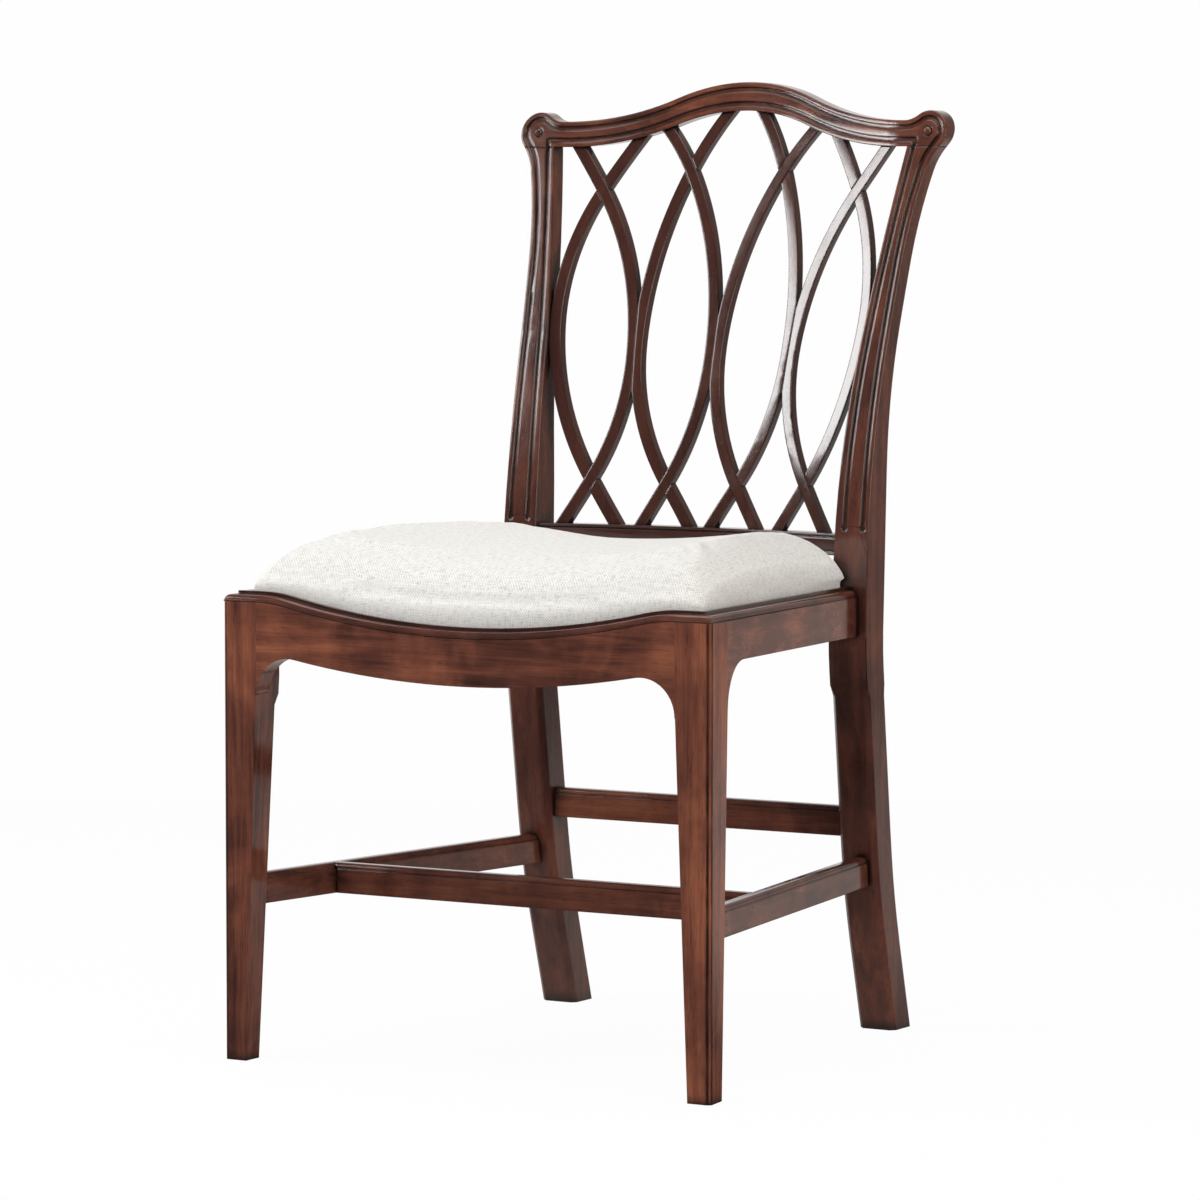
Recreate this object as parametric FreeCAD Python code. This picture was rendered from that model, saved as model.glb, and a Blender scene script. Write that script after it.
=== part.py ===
import FreeCAD, Part
import math
import os

V = FreeCAD.Vector

# Side chair with an interlaced trellis back and a saddle shaped drop-in seat.
# Millimetres. X runs to the right seen from the front, Y to the back, Z up.
# While drawing, Y is zero on the front face of the front legs.

# Front legs
FRONT_W = 560.0        # over the outer faces of the front legs
LEG_W = 40.0           # width of the leg beside the front rail
LEG_D = 42.0           # depth of the leg beside the side rail
FOOT_W = 25.5
FOOT_D = 28.5
LEG_TURN = 7.0         # degrees the outer face turns in towards the back
LEG_TOP = 461.0        # top of the legs and of the rails at the front
TAPER_Z = LEG_TOP - 77.0     # the taper starts here
LEG_CHAMFER = 6.5
STOP_Z = LEG_TOP - 105.0     # chamfer stop of the front legs
STOP_H = 11.0          # run of every chamfer stop
BEAD = 3.9             # size of the corner bead on the front arris

# Seat rails
RAIL_T = 24.0
SEAT_DROP = 5.7        # fall of the seat from the front to the rear posts
REAR_X = 207.6         # outer face of the side rail where it meets the rear post
SIDE_H = 40.0          # height of the side and rear rails
DIP = 26.5             # dip of the front rail in the middle
DIP_FLAT = FRONT_W / 2 - LEG_W     # the front rail runs between the legs
RAIL_LOW = LEG_TOP - 73.0    # underside of the front rail in the middle
RAIL_HIGH = LEG_TOP - 55.4   # underside of the front rail before the bracket
BRACKET_W = 44.0
BRACKET_Z = LEG_TOP - 92.0   # foot of the bracket on the front leg
SIDE_BRACKET_W = 46.0
SIDE_BRACKET_Z = LEG_TOP - 85.0
TENON_IN = 7.0         # rail tenons behind the face of the rail
TENON_T = 10.0
MOULD_W = 16.0         # width of the seat moulding
MOULD_H = 10.6

# Rear posts
POST_Y = 430.1         # front face of the post at the seat
POST_T = 38.0          # depth of the post from the floor to the seat
KNEE_Z = LEG_TOP - 48.0      # the post is plumb here
SABRE_Z = KNEE_Z - 34.0      # the straight run of the sabre leg starts here
BEND_Z = 200.0         # the leg sweeps back between these two heights
TOE_Z = 90.0
KNEE_EASE = 2.2
LEG_RAKE = 0.13
TOE_RAKE = 0.285
ARC_R = 1150.0         # curve of the post above the seat
RAKE_Z = 720.0         # the post is straight above this
RAKE = 0.277           # backward lean of the straight stretch
FOOT_OUT = 213.7
FOOT_IN = 171.8
KNEE_OUT = 218.3
KNEE_IN = 174.8
POST_CHAMFER = 5.4
POST_STOP = KNEE_Z - 61.0    # chamfer stop of the rear posts
REAR_RAIL_Y = POST_Y - 9.1   # the rear rail carries the back edge of the seat
POST_TOP_IN = 211.7    # inner edge of the post under the crest rail

# Back
PLAN_R = 750.0         # hollow of the trellis in plan
HOLLOW = 32.0          # face of the trellis behind the line of the back, in the middle
FACE_IN = 2.4          # moulded face of the posts and the crest behind the line of the back
BAR_W = 11.8
BAR_T = 11.5
BAR_GAP = 0.3          # between bars that run side by side
LAP_GAP = 0.12
CREST_TOP = 982.0
JOINT_Z = CREST_TOP - 68.0   # the posts end here under the crest rail
CREST_H = 30.0
CREST_T = 19.6
CREST_PROUD = 6.0      # face of the crest in front of the trellis
CREST_END = CREST_TOP - 41.0     # top edge of the crest beside the ears
CREST_FLAT = 200.0     # the serpentine of the top edge starts here
LOW_FLAT = 196.0       # and that of the lower edge here
CREST_TURN = 0.40      # share of the serpentine that is hollow downwards
CREST_STRAIGHT = 210.0     # the crest is straight in plan outside this
EAR_X = 233.5
EAR_Z = CREST_TOP - 52.5
EAR_R = 21.5
BOSS_D = 9.0
LOW_TOP = LEG_TOP + 57.5     # lower back rail
LOW_H = 22.0
LOW_T = 20.0
LOW_PROUD = 5.0        # face of the lower rail in front of the trellis
TENON = 8.0            # depth of the bar ends in the rails
HALF_BACK = 215.0      # the hollow layers of the back reach this far
BACK_DEPTH = 300.0     # room from front to back for cuts through the back
OVER_TOP = CREST_TOP + 78.0      # outlines of the posts are drawn past the crest

# Stretchers
STR_TOP = 186.0
STR_H = 31.0
STR_T = 17.0
CROSS_Y = 140.0
BACK_STR_TOP = 236.0

# Seat
FIT = 1.6              # room round the drop-in seat
SEAT_REAR = POST_Y - 1.8
SEAT_FRAME_H = 16.0
SEAT_FRAME_W = 45.0
CLOTH = 1.5
MORTISE = 0.15         # room round each tenon


def line(a, b):
    return Part.LineSegment(a, b).toShape()


def box(x0, x1, y0, y1, z0, z1):
    return Part.makeBox(x1 - x0, y1 - y0, z1 - z0, V(x0, y0, z0))


def mirrored(shape):
    return shape.mirror(V(0, 0, 0), V(1, 0, 0))


def front(p):
    return V(p[0], 0, p[1])


def side(p):
    return V(0, p[0], p[1])


def plan(p):
    return V(p[0], p[1], 0)


def polygon(points, put):
    corners = [put(p) for p in points]
    return Part.makePolygon(corners + [corners[0]])


def solid(wire, along):
    return Part.Face(wire).extrude(along)


def across(wire):
    # a front view outline carried through the whole depth of the back
    return solid(wire, V(0, BACK_DEPTH, 0)).translated(V(0, POST_Y - 30, 0))


def plan_block(points, z0, z1):
    return solid(polygon(points, lambda p: V(p[0], p[1], z0)), V(0, 0, z1 - z0))


class Track:
    # A chain of straight stretches and arcs that leave along the running direction.

    def __init__(self, start, heading):
        self.end = start
        self.heading = heading
        self.pieces = []

    def straight(self, q):
        p = self.end
        h = math.atan2(q[1] - p[1], q[0] - p[0])
        mid = ((p[0] + q[0]) / 2, (p[1] + q[1]) / 2)
        self.pieces.append((p, mid, q, h, h, h))
        self.end = q
        self.heading = h
        return self

    def bend(self, q):
        p = self.end
        h = self.heading
        chord = math.hypot(q[0] - p[0], q[1] - p[1])
        turn = math.atan2(q[1] - p[1], q[0] - p[0]) - h
        turn = (turn + math.pi) % (2 * math.pi) - math.pi
        reach = chord / (2 * math.cos(turn / 2))
        mid = (p[0] + reach * math.cos(h + turn / 2), p[1] + reach * math.sin(h + turn / 2))
        self.pieces.append((p, mid, q, h, h + turn, h + 2 * turn))
        self.end = q
        self.heading = h + 2 * turn
        return self

    def around(self, centre, radius, angle):
        # follow a circle counter-clockwise to the given angle in degrees
        p = self.end
        a0 = math.atan2(p[1] - centre[1], p[0] - centre[0])
        a1 = math.radians(angle)
        half = (a0 + a1) / 2
        for a, b in ((a0, half), (half, a1)):
            m = (a + b) / 2
            spots = [(centre[0] + radius * math.cos(t), centre[1] + radius * math.sin(t)) for t in (a, m, b)]
            self.pieces.append((*spots, a + math.pi / 2, m + math.pi / 2, b + math.pi / 2))
        self.end = self.pieces[-1][2]
        self.heading = a1 + math.pi / 2
        return self

    def backwards(self):
        back = Track(self.end, self.heading + math.pi)
        for p, m, q, hp, hm, hq in reversed(self.pieces):
            back.pieces.append((q, m, p, hq + math.pi, hm + math.pi, hp + math.pi))
        back.end = self.pieces[0][0]
        back.heading = self.pieces[0][3] + math.pi
        return back

    def joined(self, other):
        both = Track(other.end, other.heading)
        both.pieces = self.pieces + other.pieces
        return both

    def moved(self, left):
        # the same chain shifted to its left by a constant distance
        out = Track(self.end, self.heading)
        for p, m, q, hp, hm, hq in self.pieces:
            spots = [(s[0] - left * math.sin(h), s[1] + left * math.cos(h))
                     for s, h in ((p, hp), (m, hm), (q, hq))]
            if out.pieces:
                spots[0] = out.pieces[-1][2]
            out.pieces.append((*spots, hp, hm, hq))
        out.end = out.pieces[-1][2]
        return out

    def edges(self, put):
        made = []
        for p, m, q, hp, hm, hq in self.pieces:
            if abs(hq - hp) < 1e-6:
                made.append(line(put(p), put(q)))
            else:
                made.append(Part.Arc(put(p), put(m), put(q)).toShape())
        return made

    def first(self):
        return self.pieces[0][0]


def ribbon(track, left, right, put):
    # closed outline between two shifts of one chain
    a = track.moved(left)
    b = track.moved(right).backwards()
    caps = [line(put(a.end), put(b.first())), line(put(b.end), put(a.first()))]
    return Part.Wire(Part.__sortEdges__(a.edges(put) + b.edges(put) + caps))


def closed(edges):
    return Part.Wire(Part.__sortEdges__(edges))


# Shared lines of the chair

UP = math.pi / 2
TAN_LEG = math.tan(math.radians(LEG_TURN))
HALF_W = FRONT_W / 2
LEG_BACK_X = HALF_W - LEG_D * TAN_LEG
RAIL_SLOPE = (LEG_BACK_X - REAR_X) / (POST_Y - LEG_D)
EDGE_SLOPE = (HALF_W - REAR_X) / POST_Y


def seat_z(y):
    return LEG_TOP - SEAT_DROP * y / POST_Y


def rail_x(y):
    # outer face of the right side rail
    return LEG_BACK_X - (y - LEG_D) * RAIL_SLOPE


def edge_x(y):
    # outer edge line of the right seat moulding
    return HALF_W - y * EDGE_SLOPE


def post_front(z):
    if z > RAKE_Z:
        top = math.sin(math.atan(RAKE)) * ARC_R
        return POST_Y + ARC_R - math.sqrt(ARC_R ** 2 - top ** 2) + RAKE * (z - RAKE_Z)
    return POST_Y + ARC_R - math.sqrt(ARC_R ** 2 - (z - ARC_FOOT) ** 2)


ARC_FOOT = RAKE_Z - math.sin(math.atan(RAKE)) * ARC_R


def dip_track(flat, dip, z, ends):
    # saddle line from left to right, level at z outside the flat width
    x1 = 0.854 * flat
    z1 = z - dip + dip * x1 / flat
    half = Track((0, z - dip), 0).bend((x1, z1)).bend((flat, z))
    if ends > flat:
        half.straight((ends, z))
    left = Track((0, z - dip), math.pi).bend((-x1, z1)).bend((-flat, z))
    if ends > flat:
        left.straight((-ends, z))
    return left.backwards().joined(half)


def dip_z(x, flat, dip, z):
    x = abs(x)
    if x > flat:
        return z
    x1 = 0.854 * flat
    slope = 2 * dip / flat
    if x < x1:
        return z - dip + slope * x * x / (2 * x1)
    return z - slope * (flat - x) ** 2 / (2 * (flat - x1))


# Front legs

def leg_section(z, w, d, chamfer):
    outer = HALF_W - d * TAN_LEG
    inner = HALF_W - w
    points = [(HALF_W, 0), (outer, d), (inner + chamfer, d), (inner, d - chamfer), (inner, 0)]
    return polygon(points, lambda p: V(p[0], p[1], z))


def leg_size(z):
    part = min(z / TAPER_Z, 1.0)
    return FOOT_W + (LEG_W - FOOT_W) * part, FOOT_D + (LEG_D - FOOT_D) * part


def front_leg():
    sections = []
    for z, c in ((0, LEG_CHAMFER * 0.75), (STOP_Z, LEG_CHAMFER), (STOP_Z + STOP_H, 0.4),
                 (TAPER_Z, 0.4), (LEG_TOP, 0.4)):
        w, d = leg_size(z)
        sections.append(leg_section(z, w, d, c))
    leg = Part.makeLoft(sections, True, True)
    corner = box(HALF_W - BEAD, HALF_W + 1, -1, BEAD, -1, LEG_TOP + 1)
    roll = Part.makeCylinder(BEAD - 0.6, LEG_TOP + 2, V(HALF_W - BEAD, BEAD, -1))
    leg = leg.cut(corner.cut(roll))
    return leg.cut(above_seat())


def above_seat():
    # everything above the sloping top of the side rails
    high = LEG_TOP + SIDE_H
    points = [(-5, seat_z(-5)), (POST_Y, seat_z(POST_Y)), (POST_Y, high), (-5, high)]
    return solid(polygon(points, side), V(2 * FRONT_W, 0, 0)).translated(V(-FRONT_W, 0, 0))


# Seat rails

def front_rail():
    top = dip_track(DIP_FLAT, DIP, LEG_TOP, DIP_FLAT)
    low = []
    for s in (1, -1):
        t = Track((0, RAIL_LOW), 0 if s > 0 else math.pi)
        low.append(t.bend((s * (DIP_FLAT - BRACKET_W), RAIL_HIGH)).bend((s * DIP_FLAT, BRACKET_Z)))
    bottom = low[1].backwards().joined(low[0])
    ends = [line(front(bottom.first()), front(top.first())), line(front(bottom.end), front(top.end))]
    rail = solid(closed(top.edges(front) + bottom.edges(front) + ends), V(0, RAIL_T, 0))
    for s in (1, -1):
        rail = rail.fuse(front_tenon(s, 0))
    return rail.removeSplitter()


def front_tenon(s, room):
    y0 = TENON_IN - room
    y1 = TENON_IN + TENON_T + room
    t = box(DIP_FLAT - 1, DIP_FLAT + 20 + room, y0, y1, LEG_TOP - 62 - room, LEG_TOP - 20 + room)
    return t if s > 0 else mirrored(t)


def laid(shape, start, heading):
    # a piece drawn along X is turned in plan and set down at its start
    shape = shape.copy()
    shape.rotate(V(0, 0, 0), V(0, 0, 1), math.degrees(heading))
    shape.translate(V(start[0], start[1], 0))
    return shape


SIDE_START = (LEG_BACK_X, LEG_D)
SIDE_HEADING = math.atan2(POST_Y - LEG_D, REAR_X - LEG_BACK_X)
SIDE_LEN = math.hypot(POST_Y - LEG_D, REAR_X - LEG_BACK_X)


def side_rail():
    # drawn with its outer face on the XZ plane and its thickness towards the inside
    fall = SEAT_DROP / POST_Y
    z0 = seat_z(LEG_D)
    z1 = z0 - fall * SIDE_LEN
    t = Track((-12, z0 + fall * 12), 0).straight((SIDE_LEN + 14, z1 - fall * 14))
    t.straight((SIDE_LEN + 14, z1 - SIDE_H)).straight((SIDE_BRACKET_W, z0 - SIDE_H))
    t.bend((0, SIDE_BRACKET_Z)).straight((-12, SIDE_BRACKET_Z)).straight((-12, z0 + fall * 12))
    rail = solid(closed(t.edges(front)), V(0, RAIL_T, 0))
    rail = laid(rail, SIDE_START, SIDE_HEADING)
    return rail.common(box(0, FRONT_W, LEG_D, POST_Y + 70, 0, LEG_TOP + SIDE_H))


def side_tenon(room):
    z = seat_z(POST_Y) - SIDE_H / 2
    y0 = TENON_IN - room
    y1 = TENON_IN + TENON_T + room
    at_rear = box(SIDE_LEN - 30, SIDE_LEN + 16 + room, y0, y1, z - 14 - room, z + 14 + room)
    at_front = box(-21 - room, 30, y0, y1, LEG_TOP - 33 - room, LEG_TOP - 9 + room)
    return laid(at_rear.fuse(at_front), SIDE_START, SIDE_HEADING)


def rear_rail():
    z1 = seat_z(POST_Y) - 0.3
    reach = KNEE_IN + 5.2
    return box(-reach, reach, REAR_RAIL_Y, REAR_RAIL_Y + 26, z1 - SIDE_H, z1)


def rear_tenon(room):
    z1 = seat_z(POST_Y)
    y0 = REAR_RAIL_Y + 14 - room
    y1 = REAR_RAIL_Y + 23 + room
    t = box(KNEE_IN - 10, KNEE_IN + 12 + room, y0, y1, z1 - 34 - room, z1 - 6 + room)
    return t.fuse(mirrored(t))


# Seat moulding, a stepped ovolo planted on the rails

def moulding_profile():
    # distance in from the face and height above the rail
    t = Track((0.8, 0), UP).straight((0.8, 1.4)).straight((1.4, 1.8))
    t.heading = UP
    t.bend((6.2, 7.0)).straight((10.4, 7.8)).straight((10.4, MOULD_H)).straight((MOULD_W, MOULD_H))
    return t.straight((MOULD_W, 0)).straight((0.8, 0))


def mitre_x():
    # where the inner edges of the front and side strips meet
    return edge_x(MOULD_W) - MOULD_W * math.hypot(1, EDGE_SLOPE)


def front_moulding():
    line_up = dip_track(DIP_FLAT, DIP, LEG_TOP, HALF_W + 4)
    start = line_up.first()
    spine = Part.Wire(line_up.edges(front))
    put = lambda p: V(start[0], p[0], start[1] + p[1])
    sweep = Part.BRepOffsetAPI.MakePipeShell(spine)
    sweep.setBiNormalMode(V(0, 1, 0))
    sweep.add(closed(moulding_profile().edges(put)))
    sweep.build()
    sweep.makeSolid()
    strip = sweep.shape()
    xi = mitre_x()
    trapeze = [(-HALF_W, 0), (HALF_W, 0), (xi, MOULD_W), (-xi, MOULD_W)]
    return strip.common(plan_block(trapeze, LEG_TOP - SIDE_H, LEG_TOP + SIDE_H))


def side_moulding():
    turn = math.atan(EDGE_SLOPE)
    length = math.hypot(POST_Y, HALF_W - REAR_X)
    put = lambda p: V(-p[0], 0, p[1])
    strip = solid(closed(moulding_profile().edges(put)), V(0, length + 30, 0)).translated(V(0, -8, 0))
    strip.rotate(V(0, 0, 0), V(1, 0, 0), -math.degrees(math.atan(SEAT_DROP / POST_Y)))
    strip.rotate(V(0, 0, 0), V(0, 0, 1), math.degrees(turn))
    strip.translate(V(HALF_W, 0, LEG_TOP + 0.1))
    xi = mitre_x()
    y = POST_Y + 30
    rear = edge_x(y)
    outline = [(HALF_W, 0), (xi, MOULD_W), (rear - MOULD_W * 1.2, y), (rear + 2, y)]
    return strip.common(plan_block(outline, LEG_TOP - SIDE_H, LEG_TOP + SIDE_H))


# Rear posts

def leg_front(z):
    # front of the sabre leg below the seat
    if z >= SABRE_Z:
        return POST_Y + KNEE_EASE * ((KNEE_Z - z) / (KNEE_Z - SABRE_Z)) ** 2
    y = POST_Y + KNEE_EASE
    if z >= BEND_Z:
        return y + LEG_RAKE * (SABRE_Z - z)
    y += LEG_RAKE * (SABRE_Z - BEND_Z)
    run = BEND_Z - max(z, TOE_Z)
    y += LEG_RAKE * run + (TOE_RAKE - LEG_RAKE) * run ** 2 / (2 * (BEND_Z - TOE_Z))
    return y + TOE_RAKE * max(TOE_Z - z, 0)


def post_section(z, chamfer):
    part = z / KNEE_Z
    outer = FOOT_OUT + (KNEE_OUT - FOOT_OUT) * part
    inner = FOOT_IN + (KNEE_IN - FOOT_IN) * part
    y0 = leg_front(z)
    y1 = y0 + POST_T
    c = chamfer
    b = min(chamfer, 2.0)
    points = [(outer - c, y0), (outer, y0 + c), (outer, y1 - b), (outer - b, y1),
              (inner + b, y1), (inner, y1 - b), (inner, y0 + c), (inner + c, y0)]
    return polygon(points, lambda p: V(p[0], p[1], z))


def sabre_leg():
    heights = (0, TOE_Z / 2, TOE_Z, (TOE_Z + BEND_Z) / 2, BEND_Z, (BEND_Z + POST_STOP) / 2, POST_STOP)
    low = [post_section(z, POST_CHAMFER) for z in heights]
    top = POST_STOP + STOP_H
    stop = [post_section(POST_STOP, POST_CHAMFER), post_section(top, 0.4)]
    knee = [post_section(z, 0.4) for z in (top, SABRE_Z, (SABRE_Z + KNEE_Z) / 2, KNEE_Z)]
    leg = Part.makeLoft(low, True, False)
    leg = leg.fuse(Part.makeLoft(stop, True, True))
    return leg.fuse(Part.makeLoft(knee, True, True))


def post_outer():
    # outer edge of the right post seen from the front, ending on the ear
    t = Track((KNEE_OUT, KNEE_Z), UP).straight((KNEE_OUT - 1.1, CREST_TOP - 402))
    t.heading = UP
    t.bend((KNEE_OUT + 5.3, CREST_TOP - 182)).bend((KNEE_OUT + 18.5, CREST_TOP - 92))
    a = math.radians(-40)
    return t.bend((EAR_X + EAR_R * math.cos(a), EAR_Z + EAR_R * math.sin(a)))


def post_inner():
    t = Track((KNEE_IN, KNEE_Z), UP).straight((KNEE_IN + 3.7, KNEE_Z + 67))
    t.heading = UP
    return t.bend((POST_TOP_IN, JOINT_Z))


def post_back():
    heel = POST_Y + POST_T
    t = Track((heel, KNEE_Z), UP).straight((heel + 9.8, KNEE_Z + 187)).bend((heel + 30.4, RAKE_Z + 10))
    y, z = t.end
    return t.straight((y + (OVER_TOP - z) / math.tan(t.heading), OVER_TOP))


def post_face():
    t = Track((POST_Y, KNEE_Z), UP)
    t.bend((post_front(RAKE_Z) + FACE_IN, RAKE_Z))
    return t.straight((post_front(OVER_TOP) + FACE_IN, OVER_TOP))


def upper_post():
    outer = post_outer()
    inner = post_inner()
    ends = [line(front(inner.first()), front(outer.first())), line(front(inner.end), front(outer.end))]
    face_on = across(closed(outer.edges(front) + inner.edges(front) + ends))
    face = post_face()
    back = post_back()
    ends = [line(side(face.first()), side(back.first())), line(side(face.end), side(back.end))]
    side_on = solid(closed(face.edges(side) + back.edges(side) + ends), V(FRONT_W, 0, 0))
    post = face_on.common(side_on)
    return post.common(box(0, FRONT_W, 0, POST_Y + BACK_DEPTH, 0, JOINT_Z))


def top_tenon(room):
    y = post_front(JOINT_Z) + FACE_IN + 11.6
    x0 = EAR_X - 11.5 - room
    return box(x0, EAR_X + 6.5 + room, y - 4 - room, y + 4 + room, JOINT_Z - 1, JOINT_Z + 12 + room)


def rear_post():
    post = sabre_leg().fuse(upper_post()).removeSplitter()
    for tool in post_flutes():
        post = post.cut(tool)
    return post.fuse(top_tenon(0))


# Moulded face of the posts and the crest rail

EDGE_BEAD = 5.0        # plain bead along both edges
FLUTE_W = 4.8          # flute beside the bead
FLUTE_D = 2.3


def crest_edge():
    # the running edge from the post over the ear and along the top of the crest
    t = post_outer()
    t.around((EAR_X, EAR_Z), EAR_R, 128)
    t.bend((CREST_FLAT + 6, CREST_END))
    t.heading = math.pi
    t.straight((CREST_FLAT, CREST_END))
    return serpentine(t, CREST_FLAT, CREST_END, CREST_TOP)


def serpentine(track, x, z0, z1):
    # double curve from level at x to level on the centre line
    return track.bend((CREST_TURN * x, z1 - CREST_TURN * (z1 - z0))).bend((0, z1))


def crest_low():
    # lower edge of the crest from the post to the middle
    t = Track((POST_TOP_IN, JOINT_Z), math.pi).straight((LOW_FLAT, JOINT_Z))
    return serpentine(t, LOW_FLAT, JOINT_Z, CREST_TOP - CREST_H)


def trimmed(track, z):
    # the part of an edge chain above a height, for flutes that stop short
    kept = Track(track.end, track.heading)
    for piece in track.pieces:
        if piece[2][1] < z + 1:
            continue
        if piece[0][1] < z:
            share = (z - piece[0][1]) / (piece[2][1] - piece[0][1])
            start = (piece[0][0] + share * (piece[2][0] - piece[0][0]), z)
            t = Track(start, piece[5] - 2 * (piece[5] - math.atan2(piece[2][1] - z, piece[2][0] - start[0])))
            t.bend(piece[2])
            kept.pieces.append(t.pieces[0])
        else:
            kept.pieces.append(piece)
    return kept


FLUTE_FOOT = LOW_TOP + 6.5


def skin(depth):
    # thin layer from just in front of the face of the post to a depth behind it
    face = post_face()
    near = [e.translated(V(0, -1, 0)) for e in face.edges(side)]
    far = [e.translated(V(0, depth, 0)) for e in face.edges(side)]
    ends = [line(side((y - 1, z)), side((y + depth, z))) for y, z in (face.first(), face.end)]
    return solid(closed(near + far + ends), V(FRONT_W, 0, 0))


def flute(track, s):
    # front view outline of the flute on one side of a moulded face
    return across(ribbon(track, s * EDGE_BEAD, s * (EDGE_BEAD + FLUTE_W), front))


def post_flutes():
    tools = []
    for edge, s in ((post_outer(), 1), (post_inner(), -1)):
        run = trimmed(edge, FLUTE_FOOT)
        x, z = run.moved(s * (EDGE_BEAD + FLUTE_W / 2)).first()
        stop = Part.makeCylinder(FLUTE_W / 2 + 0.9, BACK_DEPTH, V(x, POST_Y - 2, z), V(0, 1, 0))
        tools.append(flute(run, s).fuse(stop).common(skin(FLUTE_D)))
    return tools


# Crest rail

def crest_plan(y0):
    # plan line of the crest face from left to right, hollow between straight ends
    base = post_front(JOINT_Z) + FACE_IN + y0
    deep = HOLLOW - CREST_PROUD
    reach = EAR_X + EAR_R + 7
    ease = 0.12
    halves = []
    for s, heading in ((1, 0), (-1, math.pi)):
        t = Track((0, base + deep), heading).bend((s * (1 - ease) * CREST_STRAIGHT, base + ease * deep))
        halves.append(t.bend((s * CREST_STRAIGHT, base)).straight((s * reach, base)))
    return halves[1].backwards().joined(halves[0])


def crest_layer(y0, y1):
    near = crest_plan(y0)
    far = crest_plan(y1)
    put = lambda p: V(p[0], p[1], JOINT_Z)
    ends = [line(put(near.first()), put(far.first())), line(put(near.end), put(far.end))]
    rise = 100.0
    return solid(closed(near.edges(put) + far.edges(put) + ends), V(0, RAKE * rise, rise))


def crest_rail():
    edge = crest_edge()
    half = above_joint(edge)
    low = crest_low()
    foot = line(front(half.first()), front(low.first()))
    middle = line(front(half.end), front(low.end))
    half_face = across(closed(half.edges(front) + low.edges(front) + [foot, middle]))
    whole = half_face.fuse(mirrored(half_face)).removeSplitter()
    crest = whole.common(crest_layer(0, CREST_T))
    layer = crest_layer(-1, FLUTE_D)
    for run, s in ((edge, 1), (crest_low_run(), -1), (corner_run(), -1)):
        groove = flute(run, s).common(layer)
        crest = crest.cut(groove).cut(mirrored(groove))
    return crest


def above_joint(edge):
    # the stretch of the running edge that belongs to the crest
    kept = Track(edge.end, edge.heading)
    kept.pieces = [p for p in edge.pieces if p[2][1] > JOINT_Z + 1]
    return kept


def crest_low_run():
    # lower edge of the crest carried over the post as far as the flute of the post
    t = Track((POST_TOP_IN + EDGE_BEAD + FLUTE_W, JOINT_Z), math.pi)
    low = crest_low()
    t.straight((low.pieces[0][2]))
    t.pieces += low.pieces[1:]
    t.end = low.end
    return t


def corner_run():
    # inner edge of the post carried on into the crest, so that the flutes meet in a corner
    end = post_inner()
    dx = math.cos(end.heading)
    dz = math.sin(end.heading)
    x, z = end.end
    far = EDGE_BEAD + FLUTE_W
    return Track((x - dx, z - dz), end.heading).straight((x + far * dx, z + far * dz))


def ear_boss():
    y = post_front(EAR_Z) + FACE_IN
    r = BOSS_D / 2
    body = Part.makeCylinder(r, 3.4, V(EAR_X, y - 1.0, EAR_Z), V(0, 1, 0))
    return body.fuse(Part.makeCone(r - 1.6, r, 1.6, V(EAR_X, y - 2.6, EAR_Z), V(0, 1, 0)))


def boss_hole():
    y = post_front(EAR_Z) + FACE_IN
    return Part.makeCylinder(BOSS_D / 2 + 0.1, 8.5, V(EAR_X, y - 6.0, EAR_Z), V(0, 1, 0))


# Trellis

def back_layer(y0, y1, z0, z1):
    # layer of the back that follows the posts in height and is hollow in plan
    spine = []
    if z0 < RAKE_Z:
        top = min(z1, RAKE_Z)
        mid = (z0 + top) / 2
        spine.append(Part.Arc(V(0, post_front(z0), z0), V(0, post_front(mid), mid),
                              V(0, post_front(top), top)).toShape())
    if z1 > RAKE_Z:
        low = max(z0, RAKE_Z)
        spine.append(line(V(0, post_front(low), low), V(0, post_front(z1), z1)))
    sweep = Part.BRepOffsetAPI.MakePipeShell(Part.Wire(spine))
    sweep.setTrihedronMode(V(0, 0, 0), V(0, 0, 1))
    sweep.add(hollow_ring(y0, y1, z0))
    sweep.build()
    sweep.makeSolid()
    return sweep.shape()


def hollow_ring(y0, y1, z):
    # level outline of a layer of the back between two depths behind the posts
    b = post_front(z)
    x = HALF_BACK
    sag = PLAN_R - math.sqrt(PLAN_R ** 2 - x ** 2)
    near = Part.Arc(V(-x, b + y0 - sag, z), V(0, b + y0, z), V(x, b + y0 - sag, z)).toShape()
    far = Part.Arc(V(-x, b + y1 - sag, z), V(0, b + y1, z), V(x, b + y1 - sag, z)).toShape()
    ends = [line(V(s * x, b + y0 - sag, z), V(s * x, b + y1 - sag, z)) for s in (1, -1)]
    return closed([near, far] + ends)


def leaning_layer(y0, y1, z0, z1):
    # a low layer of the back, straight in height
    lean = V(0, post_front(z1) - post_front(z0), z1 - z0)
    return solid(hollow_ring(y0, y1, z0), lean)


# Neighbouring ovals meet on the centre line, on a leaning quarter line and at the posts
MEET_Z = LOW_TOP + 0.3916 * (CREST_TOP - LOW_TOP)
CENTRE_REACH = 4.2     # middle of the bar from the centre line
QUARTER_X = 92.2
QUARTER_LEAN = 0.052
QUARTER_REACH = 2.9
POST_MEET_Z = MEET_Z + 25.0
# crossings of the inner and the outer oval on the right half
CROSS_LOW = ((42.0, LOW_TOP + 43.5), (128.0, LOW_TOP + 46.5))
CROSS_HIGH = ((55.8, CREST_TOP - 93.0), (152.3, CREST_TOP - 113.3))
# where the two bars of each oval enter the rails
LOW_X = ((73.0, 8.0), (161.0, 92.0))
HIGH_X = ((94.0, 13.8), (190.0, 112.0))


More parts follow.
